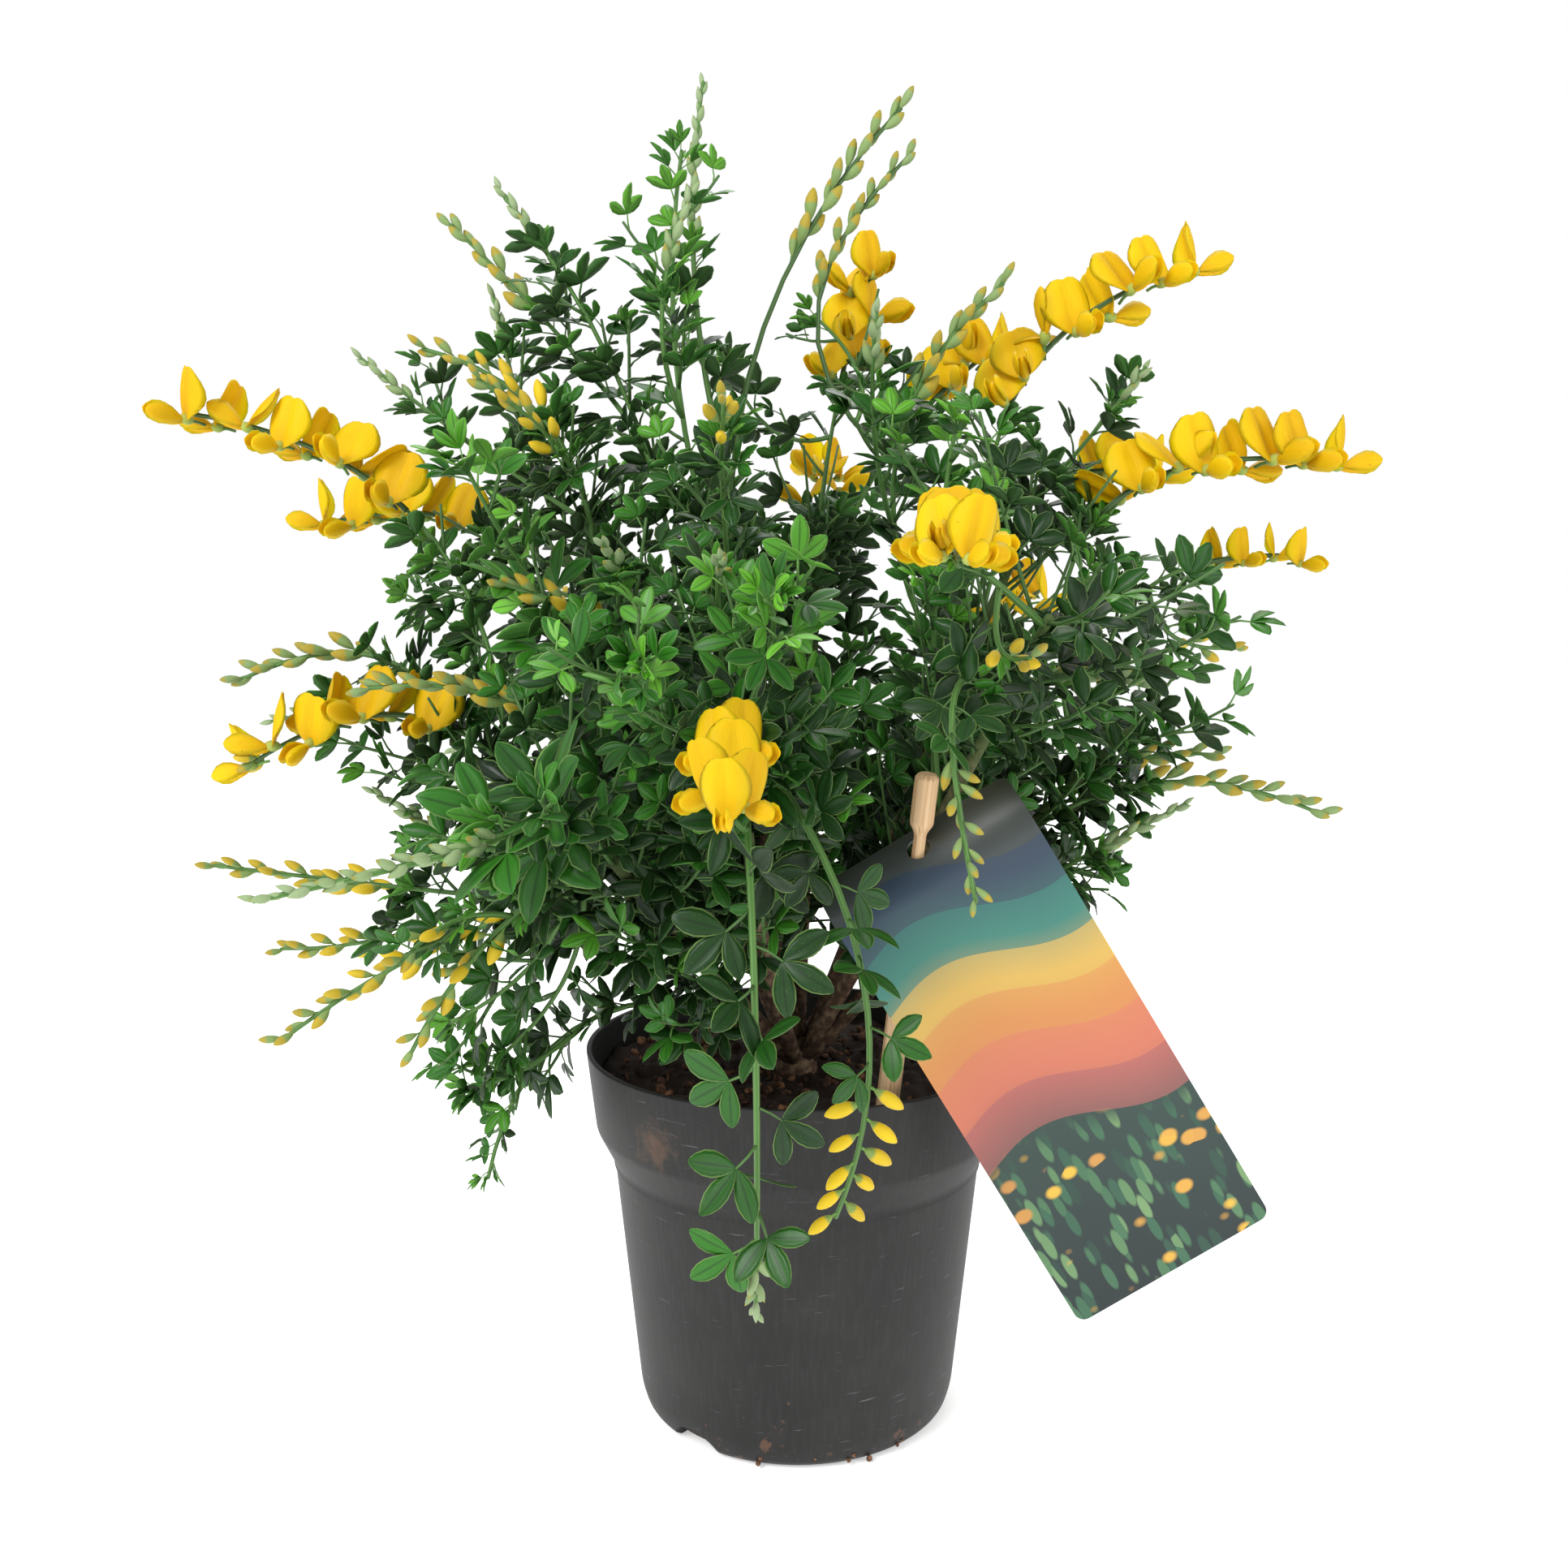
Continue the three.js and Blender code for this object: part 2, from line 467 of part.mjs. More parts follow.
// Places a piece every so many millimetres along a stretch of a stem.
function growAlong(owner, shape, line, from, to, spacing, frameAt) {
  const count = Math.max(1, Math.round((to - from) * line.getLength() / spacing));
  for (let i = 0; i < count; i++) {
    const along = from + (to - from) * (i + 0.5) / count;
    grow(owner, shape, (turn) => frameAt(along, i, turn));
  }
}

// The shoots' lines and stems

const shoots = new Map();
SHOOTS.forEach(([name, host, along, pass, tip, load, loadLength], index) => {
  const limb = limbs.get(host);
  const line = stemLine((limb || shoots.get(host)).line.getPointAt(along), vector(pass), vector(tip));
  const owner = limb ? name : shoots.get(host).owner;
  const start = limb ? clearStart(line, STEM.radius) : 0;
  const loadStart = 1 - loadLength / line.getLength();
  shoots.set(name, { name, owner, line, start, load, loadStart, turn: index * 77 });
});

// A flowering shoot's yellow raceme is a node of its own, a small gap beyond the green stem.
for (const shoot of shoots.values()) {
  const { name, owner, line, start, load, loadStart } = shoot;
  const radius = owner === name ? STEM.radius : STEM.sideRadius;
  const bloom = load === 'flowers';
  const end = bloom ? loadStart - GAP / line.getLength() : 1;
  keep(owner, solidOf(tube(new Stretch(line, start, end), STEM.sides, STEM.steps, () => radius)));
  if (bloom) {
    const raceme = tube(new Stretch(line, loadStart, 1), STEM.sides, STEM.steps - 1, () => STEM.sideRadius);
    keep(`${name}_flowers`, solidOf(raceme));
  }
}
keep('wood', wood);
keep('pot', makePot());
keep('soil', makeSoil());
keep('stake', makeStake());
keep('label', makeLabel());

for (const { name, line, load, loadStart } of shoots.values()) {
  if (load !== 'flowers') continue;
  const frameAt = (along, i, turn) => flowerFrame(line, along, FLOWER_SIDES[i % FLOWER_SIDES.length] + turn);
  growAlong(`${name}_flowers`, flowerShape, line, loadStart, 0.97, FLOWER.spacing, frameAt);
}
const leafing = (line, firstTurn, lean) => (along, i, turn) => (
  leafFrame(line, along, firstTurn + i * TURN + turn, lean)
);
for (const { owner, line, load, loadStart, turn } of shoots.values()) {
  if (load === 'buds') growAlong(owner, budShape, line, loadStart, 1, BUD.spacing, leafing(line, turn, 42));
  if (load === 'spike') {
    growAlong(owner, spikeBudShape, line, loadStart, 1, SPIKE_BUD.spacing, leafing(line, turn, 32));
  }
}
for (const { owner, line, start, load, loadStart, turn } of shoots.values()) {
  const from = start + 12 / line.getLength();
  const to = load === 'leaves' ? 0.99 : loadStart;
  growAlong(owner, leafShape, line, from, to, LEAF_SPACING, leafing(line, turn, 60));
}

// Fusing and export

const LOOKS = {
  pot: ['#45464a', 0.55], soil: ['#3b2a20', 1], stake: ['#ddb98c', 0.7], label: ['#d98b4e', 0.4],
  wood: ['#6b5340', 0.9], leafy: ['#2b5f2a', 0.6], flowers: ['#f2c80c', 0.55],
};

function looksOf(name) {
  if (LOOKS[name]) return LOOKS[name];
  return name.endsWith('_flowers') ? LOOKS.flowers : LOOKS.leafy;
}

const plant = new THREE.Group();
for (const name of new Set(placed.map(({ owner }) => owner))) {
  const solids = placed.filter(({ owner }) => owner === name).map(({ solid }) => solid);
  const bodies = wasm.Manifold.union(solids).decompose();
  const body = bodies.reduce((a, b) => (b.volume() > a.volume() ? b : a));
  const [color, roughness] = looksOf(name);
  const material = new THREE.MeshStandardMaterial({ color, roughness, metalness: 0 });
  const mesh = new THREE.Mesh(geometryOf(body), material);
  mesh.name = name;
  plant.add(mesh);
}

export default plant;
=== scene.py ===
# %% [markdown]
# # A potted broom shrub
# A broom in flower stands in its nursery pot, with a wooden stake and a hanging label.
# The solid model is loaded first and is never moved. Each plain solid is then covered by a finer
# piece made here, in the same place and along the same lines, and the shrub gets the leaves,
# twigs and buds that the solid model has no room for.

# %% Load the solid model
import collections
import math

import bpy
import numpy as np
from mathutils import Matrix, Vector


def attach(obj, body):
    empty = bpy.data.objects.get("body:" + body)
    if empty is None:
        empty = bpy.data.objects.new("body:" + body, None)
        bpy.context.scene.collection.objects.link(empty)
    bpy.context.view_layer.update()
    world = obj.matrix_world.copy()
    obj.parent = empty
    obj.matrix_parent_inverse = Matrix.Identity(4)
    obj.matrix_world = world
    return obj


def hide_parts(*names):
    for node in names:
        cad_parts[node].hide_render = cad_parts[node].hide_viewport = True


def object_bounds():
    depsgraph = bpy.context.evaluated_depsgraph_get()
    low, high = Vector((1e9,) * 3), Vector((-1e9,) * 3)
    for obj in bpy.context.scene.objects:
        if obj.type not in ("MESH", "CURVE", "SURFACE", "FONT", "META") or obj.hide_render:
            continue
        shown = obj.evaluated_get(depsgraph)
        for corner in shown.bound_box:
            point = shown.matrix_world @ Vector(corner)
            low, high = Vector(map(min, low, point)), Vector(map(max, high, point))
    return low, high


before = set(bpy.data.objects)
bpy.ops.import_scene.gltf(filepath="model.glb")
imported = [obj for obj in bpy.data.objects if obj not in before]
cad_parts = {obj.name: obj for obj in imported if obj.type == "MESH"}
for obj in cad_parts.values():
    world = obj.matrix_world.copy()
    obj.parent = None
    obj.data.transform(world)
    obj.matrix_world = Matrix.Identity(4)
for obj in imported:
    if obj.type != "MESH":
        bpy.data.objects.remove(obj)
solid_box = [list(corner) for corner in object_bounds()]
print("solids:", len(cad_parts))

# %% [markdown]
# ## Camera
# The picture is seen from a little above the pot's rim, so close that leaves at the front look
# half as large again as those at the back. That sets the distance, and the lens follows from it.
# The angle is worked out once, from the ellipse of the pot's rim.

# %% Camera
CAMERA_PLACE = (-0.004, -0.465, 0.256)
CAMERA_DOWN = 7.5  # degrees below level
FOCAL_PIXELS = 1900  # focal length in pixels of the 1932 pixel wide picture
PICTURE_PIXELS = 1932
SENSOR = 36

camera = bpy.data.objects.new("camera", bpy.data.cameras.new("camera"))
camera.data.sensor_width = SENSOR
camera.data.lens = SENSOR * FOCAL_PIXELS / PICTURE_PIXELS
camera.location = CAMERA_PLACE
camera.rotation_euler = (math.radians(90 - CAMERA_DOWN), 0, 0)
bpy.context.scene.collection.objects.link(camera)
bpy.context.scene.camera = camera
print("lens:", round(camera.data.lens, 1), "mm")

# %% [markdown]
# ## Driving dimensions
# All sizes are millimetres, as a grower would measure them, and they are the solid model's own.
# A few of them lead: the pot's radii, the label's card, the length of a leaflet and of a banner.

# %% Dimensions
MM = 0.001
POT = {"rim": 65, "height": 114.5, "band": 62.2, "band_foot": 90.5, "body": 56.8, "shoulder": 80}
POT_FOOT = {"flat": 44.5, "heel": 47.6, "heel_height": 2, "radius": 49.2, "edge": 7}
POT_WALL = {"side": 1.6, "floor": 2.4, "inner_corner": 4}
POT_ARCH = {"width": 18, "height": 7, "depth": 20}
POT_ARCH_AZIMUTHS = (-130, 50)  # degrees round the pot from +X
SOIL_LEVEL = 104.5
TRUNK = {"radius": 7, "foot": 42, "top": 115}
LIMB = {"root": 2.7, "tip": 1.3}
STAKE = {"radius": 3.25, "neck": 1.7, "neck_half": 4.5, "above": 21, "taper": 7}
STAKE_FOOT = np.array([21.0, -38.0, 64.0])
LABEL_HOLE = np.array([32.0, -58.0, 185.0])
LABEL = {"width": 60, "length": 145, "thickness": 0.8, "corner": 3, "hole": 3.3, "hole_down": 7.5}
LABEL_LEAN = 31.5  # degrees that the card's top is turned to the left
LABEL_CURL = {"start": 20, "radius": 15}
STEM_RADIUS = 0.95
SIDE_STEM_RADIUS = 0.85  # of a stem that leaves another one
STEM_RIBS = 5
GAP = 0.35  # between the soil and the pot
STALK = 7.5  # length of a leaf's stalk
LEAFLET = {"length": 13, "width": 5.8, "fan": 58}
BANNER = {"height": 16.5, "width": 15.5, "stalk": 6}
TURN = 137.5  # degrees from one leaf to the next round a stem

# %% The shrub's plan
# A limb has its root, a point that it passes and its tip. A shoot has the stem that it leaves, the
# share of that stem's length where it does, a point that it passes, its tip, what it carries at its
# end, and how long that load is.
LIMBS = {
    "limb_left_high": ([-2, 1, 110], [-33, 6, 194], [-72, 10, 266]),
    "limb_left": ([-3, -1, 110], [-50, -8, 162], [-102, -12, 209]),
    "limb_left_front": ([-2, -3, 110], [-36, -46, 162], [-60, -92, 204]),
    "limb_front": ([-1, -4, 110], [-12, -48, 170], [-14, -88, 220]),
    "limb_right_front": ([2, -3, 110], [38, -30, 184], [62, -80, 247]),
    "limb_right": ([4, -1, 110], [50, -6, 162], [98, -10, 212]),
    "limb_right_high": ([3, 1, 110], [36, 8, 194], [70, 8, 272]),
    "limb_top": ([0, 1, 110], [-14, 4, 210], [-24, 2, 304]),
    "limb_right_back": ([2, 3, 110], [36, 48, 172], [66, 84, 236]),
    "limb_back": ([0, 4, 110], [4, 46, 190], [8, 74, 279]),
    "limb_left_back": ([-2, 3, 110], [-36, 48, 169], [-74, 78, 221]),
}
SHOOTS = [
    ("top_leafy", "limb_top", 0.7, [-36, -8, 343], [-33, -8, 377], "leaves", 0),
    ("top_leafy_side", "top_leafy", 0.45, [-38, -22, 329], [-29, -25, 362], "spike", 24),
    ("top_spike", "limb_top", 0.97, [-31, 12, 351], [-28, 16, 403], "spike", 48),
    ("right_wand", "limb_top", 0.62, [0, -8, 350], [29, -10, 388], "buds", 54),
    ("right_wand_back", "limb_right_high", 0.97, [7, 36, 344], [35, 40, 388], "buds", 56),
    ("upper_left", "limb_left_high", 0.55, [-66, 4, 340], [-87, 0, 369], "spike", 20),
    ("upper_left_side", "upper_left", 0.55, [-78, 20, 336], [-106, 24, 364], "buds", 40),
    ("dark_spike", "limb_left_high", 0.97, [-88, 26, 317], [-94, 28, 344], "spike", 20),
    ("left_arm", "limb_left_high", 0.88, [-84, 0, 312], [-109, -4, 323], "buds", 42),
    ("far_left", "left_arm", 0.25, [-113, 10, 308], [-132, 12, 323], "spike", 22),
    ("left_arm_side", "left_arm", 0.35, [-74, -22, 300], [-88, -32, 311], "buds", 36),
    ("bloom_left_top", "limb_left", 0.85, [-114, -6, 276], [-187, -14, 305], "flowers", 80),
    ("bloom_left_back", "limb_left_back", 0.92, [-112, 46, 276], [-161, 44, 272], "flowers", 58),
    ("left_small", "bloom_left_back", 0.5, [-108, 26, 251], [-124, 28, 250], "leaves", 0),
    ("left_low", "limb_left", 0.97, [-126, 2, 233], [-165, -8, 227], "buds", 44),
    ("left_low_side", "left_low", 0.42, [-142, 8, 218], [-163, 10, 213], "spike", 24),
    ("left_mid", "limb_left", 0.62, [-82, -38, 223], [-117, -46, 227], "buds", 48),
    ("bloom_left_low", "limb_left", 0.75, [-104, -18, 215], [-166, -30, 197], "flowers", 72),
    ("front_spike", "limb_left_front", 0.97, [-66, -128, 200], [-111, -160, 192], "spike", 56),
    ("left_hook", "limb_left", 0.45, [-124, -4, 164], [-172, -18, 173], "buds", 56),
    ("left_hook_side", "left_hook", 0.4, [-120, 6, 148], [-160, 2, 143], "buds", 34),
    ("left_droop", "limb_left_front", 0.66, [-105, -44, 153], [-143, -52, 130], "buds", 56),
    ("left_droop_side", "left_droop", 0.3, [-98, -26, 180], [-123, -24, 196], "spike", 26),
    ("left_front_droop", "limb_left_front", 0.8, [-72, -76, 172], [-99, -84, 137], "buds", 46),
    ("left_front_side", "left_front_droop", 0.4, [-84, -84, 172], [-98, -96, 163], "buds", 20),
    ("rim_droop", "limb_left_front", 0.2, [-64, -22, 126], [-92, -26, 80], "leaves", 0),
    ("hanging_leafy", "limb_front", 0.88, [-11, -122, 172], [-11, -104, 76], "spike", 26),
    ("front_fresh", "hanging_leafy", 0.15, [-36, -100, 221], [-32, -140, 237], "leaves", 0),
    ("hanging_buds", "limb_front", 0.98, [12, -108, 174], [9, -94, 97], "buds", 44),
    ("label_buds", "limb_right_front", 0.8, [35, -108, 226], [40, -118, 183], "buds", 36),
    ("bloom_front_low", "limb_front", 0.97, [-16, -128, 218], [-14, -172, 207], "flowers", 46),
    ("fresh_centre", "bloom_front_low", 0.3, [-8, -106, 238], [-8, -134, 252], "leaves", 0),
    ("bloom_front_high", "limb_right_front", 0.98, [38, -118, 260], [29, -176, 258], "flowers", 54),
    ("front_high_side", "bloom_front_high", 0.25, [46, -100, 244], [51, -120, 239], "buds", 20),
    ("top_front", "limb_top", 0.45, [-20, -58, 280], [-18, -96, 298], "buds", 22),
    ("centre_spike", "limb_front", 0.72, [-20, -86, 247], [-18, -118, 261], "spike", 18),
    ("centre_buds", "limb_left_front", 0.62, [-52, -62, 244], [-76, -66, 255], "buds", 30),
    ("fresh_left", "centre_buds", 0.35, [-71, -58, 257], [-82, -84, 285], "leaves", 0),
    ("centre_buds_side", "centre_buds", 0.5, [-44, -72, 256], [-48, -88, 265], "spike", 16),
    ("right_top", "limb_right_high", 0.7, [34, -16, 310], [57, -22, 338], "buds", 44),
    ("right_top_side", "right_top", 0.4, [20, -38, 304], [20, -54, 326], "spike", 20),
    ("bloom_back_top", "limb_back", 0.95, [16, 72, 326], [27, 74, 368], "flowers", 48),
    ("bloom_back_right", "limb_back", 0.75, [44, 66, 314], [76, 64, 339], "flowers", 40),
    ("fresh_right", "limb_right_front", 0.55, [38, -56, 278], [41, -70, 304], "leaves", 0),
    ("bloom_right_top", "limb_right_high", 0.9, [62, -8, 308], [120, -14, 347], "flowers", 78),
    ("bloom_right", "limb_right", 0.86, [88, -16, 276], [161, -28, 287], "flowers", 80),
    ("bloom_right_back", "limb_right_back", 0.98, [97, 56, 292], [126, 52, 287], "flowers", 36),
    ("right_back_side", "bloom_right_back", 0.5, [96, 40, 304], [110, 34, 323], "spike", 14),
    ("bloom_right_low", "limb_right", 0.95, [100, 8, 247], [161, 6, 263], "flowers", 40),
    ("right_low_side", "bloom_right_low", 0.5, [118, 22, 239], [141, 28, 235], "buds", 24),
    ("right_leafy", "limb_right", 0.6, [74, -42, 230], [93, -52, 228], "spike", 30),
    ("right_long", "limb_right", 0.5, [98, -14, 196], [152, -22, 189], "buds", 56),
    ("right_long_side", "right_long", 0.45, [98, 0, 200], [126, -2, 204], "buds", 34),
    ("right_fringe", "limb_right", 0.3, [81, -26, 176], [109, -36, 194], "spike", 30),
    ("right_fringe_side", "right_fringe", 0.35, [74, -6, 170], [92, -4, 167], "leaves", 0),
    ("bloom_behind", "limb_back", 0.85, [10, 112, 286], [12, 150, 304], "flowers", 50),
    ("behind_left", "limb_left_back", 0.97, [-84, 108, 244], [-92, 134, 256], "buds", 40),
    ("behind_low", "behind_left", 0.3, [-106, 92, 218], [-126, 98, 194], "spike", 26),
    ("bloom_behind_right", "limb_right_back", 0.85, [80, 104, 244], [98, 134, 254], "flowers", 50),
    ("behind_right_low", "limb_right_back", 0.55, [52, 96, 184], [60, 138, 194], "buds", 40),
    ("behind_low_mid", "limb_left_back", 0.5, [-30, 92, 194], [-36, 140, 220], "buds", 36),
    ("back_leafy", "limb_back", 0.62, [-12, 84, 262], [-30, 106, 292], "leaves", 0),
    ("back_leafy_low", "back_leafy", 0.35, [-26, 92, 250], [-54, 112, 256], "leaves", 0),
    ("behind_left_high", "behind_left", 0.15, [-68, 92, 258], [-62, 98, 292], "leaves", 0),
    ("behind_left_mid", "behind_left", 0.45, [-64, 110, 238], [-44, 126, 234], "leaves", 0),
    ("left_back_high", "bloom_left_back", 0.3, [-90, 60, 274], [-92, 68, 302], "leaves", 0),
    ("top_back", "top_spike", 0.2, [-30, 26, 324], [-42, 42, 342], "leaves", 0),
    ("wand_back_low", "right_wand_back", 0.4, [20, 44, 322], [6, 56, 342], "leaves", 0),
    ("back_top_side", "bloom_back_top", 0.35, [-4, 84, 306], [-24, 86, 332], "leaves", 0),
    ("behind_right_side", "behind_right_low", 0.3, [72, 100, 198], [90, 110, 210], "leaves", 0),
    ("rim_tuft", "rim_droop", 0.45, [-78, -38, 118], [-94, -42, 112], "leaves", 0),
    ("left_tuft", "left_front_droop", 0.15, [-70, -62, 156], [-92, -68, 140], "leaves", 0),
    ("left_tuft_low", "left_droop", 0.15, [-70, -42, 138], [-86, -48, 122], "leaves", 0),
]
print("limbs:", len(LIMBS), "shoots:", len(SHOOTS))

# %% [markdown]
# ## Curves
# A stem bends evenly from where it leaves its branch to its tip, which a quadratic Bezier curve
# does with three points. Every stem is a line first, and its bar, leaves and buds follow that line.

# %% Curves
FINE_STEPS = np.linspace(0, 1, 201)
draw = np.random.default_rng(7)


def unit(vectors):
    """Each vector divided by its own length."""
    return vectors / np.linalg.norm(vectors, axis=-1, keepdims=True)


def curve_points(line, t):
    """Points of a quadratic Bezier curve: its control points weighed by (1-t)^2, 2t(1-t) and t^2."""
    t = np.atleast_1d(t)[:, None]
    return (1 - t) ** 2 * line[0] + 2 * t * (1 - t) * line[1] + t ** 2 * line[2]


def curve_through(root, passed, tip):
    """The curve's middle control point is what is left of the passed point once the shares of root
    and tip are taken off, at the t that divides the straight ways before and after it."""
    root, passed, tip = (np.array(point, float) for point in (root, passed, tip))
    before = np.linalg.norm(passed - root)
    t = before / (before + np.linalg.norm(tip - passed))
    control = (passed - (1 - t) ** 2 * root - t ** 2 * tip) / (2 * t * (1 - t))
    return np.array([root, control, tip])


def run_of(line):
    """The length of the curve up to each of the fine steps, as the sum of its chords."""
    chords = np.diff(curve_points(line, FINE_STEPS), axis=0)
    return np.concatenate([[0], np.cumsum(np.linalg.norm(chords, axis=1))])


def at_share(line, share):
    """Points and directions at shares of a curve's length. The direction is the curve's derivative,
    twice (1-t) times its first leg plus twice t times its second."""
    run = run_of(line)
    t = np.interp(np.atleast_1d(share) * run[-1], run, FINE_STEPS)
    slope = (1 - t)[:, None] * (line[1] - line[0]) + t[:, None] * (line[2] - line[1])
    return curve_points(line, t), unit(slope)


# %% The lines of every limb and shoot
Shoot = collections.namedtuple("Shoot", "name owner line length load load_start turn on_limb")
limb_lines = {name: curve_through(*plan) for name, plan in LIMBS.items()}
shoots = {}
for number, (name, host, along, passed, tip, load, load_length) in enumerate(SHOOTS):
    on_limb = host in limb_lines
    host_line = limb_lines[host] if on_limb else shoots[host].line
    line = curve_through(at_share(host_line, along)[0][0], passed, tip)
    length = run_of(line)[-1]
    owner = name if on_limb else shoots[host].owner
    load_start = 1 - load_length / length
    shoots[name] = Shoot(name, owner, line, length, load, load_start, number * 77, on_limb)
print("stems in all:", round(sum(shoot.length for shoot in shoots.values())), "mm")

# %% [markdown]
# ## Surfaces
# Everything here is a grid of points. A body of rings covers pots, stems and buds, and a thin blade
# of two sheets that share their rim covers leaflets and petals. Each point also carries paint: how
# far along it is, how far across, the tint of its copy, and which face it is on.

# %% Surface helpers
Shape = collections.namedtuple("Shape", "finish points quads tris paint")


def strip_quads(index):
    """Quads between the neighbouring rows and columns of a grid of point numbers."""
    corners = [index[:-1, :-1], index[:-1, 1:], index[1:, 1:], index[1:, :-1]]
    return np.stack(corners, axis=-1).reshape(-1, 4)


def fan(row, pole):
    """Triangles from one point to each edge of a row of points."""
    return np.stack([np.full(len(row) - 1, pole), row[1:], row[:-1]], axis=-1)


def outward(shape):
    """Turns all faces round if the volume that they enclose, the sum of a . (b x c) / 6, is negative."""
    halves = np.concatenate([shape.quads[:, :3], shape.quads[:, [0, 2, 3]], shape.tris])
    a, b, c = (shape.points[halves[:, k]] for k in range(3))
    if np.einsum("ij,ij->", a, np.cross(b, c)) > 0:
        return shape
    return shape._replace(quads=shape.quads[:, ::-1], tris=shape.tris[:, ::-1])


def ringed(finish, rings, first, last, tint=0.5):
    """A closed body: rings of points joined by quads, and a fan at each end. Its paint holds the
    share of the rings passed and the share of the turn."""
    count, sides = rings.shape[:2]
    index = np.arange(count * sides).reshape(count, sides)
    index = np.concatenate([index, index[:, :1]], axis=1)
    points = np.concatenate([rings.reshape(-1, 3), [first, last]])
    tris = np.concatenate([fan(index[0], count * sides), fan(index[-1], count * sides + 1)[:, ::-1]])
    paint = np.full((len(points), 4), [0, 0, tint, 1.0])
    paint[:-2, 0] = np.repeat(np.linspace(0, 1, count), sides)
    paint[:-2, 1] = np.tile(np.arange(sides) / sides, count)
    paint[-1, 0] = 1
    return outward(Shape(finish, points, strip_quads(index), tris, paint))


def blade(finish, rows, columns, sheet, thickness, stand_off):
    """A thin closed blade. sheet(u, v) gives its middle surface for u from root to tip and v from
    edge to edge. The two faces stand off it by half the thickness times 1 - v^2, and meet at the rim."""
    u = (1 - np.cos(np.linspace(0, np.pi, rows + 1))) / 2
    inner_u, inner_v = np.meshgrid(u[1:-1], np.linspace(-1, 1, columns + 1), indexing="ij")
    middle = sheet(inner_u, inner_v)
    half = 0.5 * thickness * (1 - inner_v ** 2)[..., None] * np.array(stand_off)
    front, back = middle + half, (middle - half)[:, 1:-1]
    ends = sheet(u[[0, -1]], np.zeros(2))
    count, wide = front.shape[:2]
    index = np.arange(count * wide).reshape(count, wide)
    under = index.copy()
    under[:, 1:-1] = count * wide + np.arange(count * (wide - 2)).reshape(count, wide - 2)
    root = count * wide + count * (wide - 2)
    points = np.concatenate([front.reshape(-1, 3), back.reshape(-1, 3), ends])
    quads = np.concatenate([strip_quads(index), strip_quads(under)[:, ::-1]])
    tris = np.concatenate([fan(index[0], root), fan(index[-1], root + 1)[:, ::-1],
                           fan(under[0], root)[:, ::-1], fan(under[-1], root + 1)])
    paint = np.full((len(points), 4), [0, 0, 0.5, 0.5])
    paint[:, 0] = np.concatenate([inner_u.ravel(), inner_u[:, 1:-1].ravel(), u[[0, -1]]])
    paint[:-2, 1] = np.abs(np.concatenate([inner_v.ravel(), inner_v[:, 1:-1].ravel()]))
    paint[:count * wide, 3] = np.where(np.abs(inner_v.ravel()) < 1, 1, 0.5)
    paint[count * wide:root, 3] = 0
    return outward(Shape(finish, points, quads, tris, paint))


def carried(points, frames, places, sizes):
    """Copies of points: each is scaled, turned by its copy's frame and moved to its copy's place."""
    return np.einsum("cij,pj->cpi", frames * sizes[:, None, None], points) + places[:, None, :]


def stamp(shapes, frames, places, sizes, tints):
    """Copies of a template's shapes, one for each frame, with each copy's tint in its paint."""
    made = []
    for shape in shapes:
        points = carried(shape.points, frames, places, sizes)
        shift = (np.arange(len(places)) * len(shape.points))[:, None, None]
        paint = np.repeat(shape.paint[None], len(places), axis=0)
        paint[:, :, 2] = tints[:, None]
        quads = (shape.quads[None] + shift).reshape(-1, 4)
        tris = (shape.tris[None] + shift).reshape(-1, 3)
        made.append(Shape(shape.finish, points.reshape(-1, 3), quads, tris, paint.reshape(-1, 4)))
    return made


def placed(shape, turn, place):
    """One copy of a shape, turned about Z by some degrees and moved."""
    c, s = math.cos(math.radians(turn)), math.sin(math.radians(turn))
    points = shape.points @ np.array([[c, s, 0], [-s, c, 0], [0, 0, 1]]) + place
    return shape._replace(points=points)


# %% Putting surfaces into a mesh
triangles = {}


def set_paint(mesh, paint):
    """Writes one row of four numbers per point, as a colour attribute that materials read."""
    layer = mesh.attributes.get("paint") or mesh.attributes.new("paint", "FLOAT_COLOR", "POINT")
    layer.data.foreach_set("color", paint.astype(np.float32).ravel())


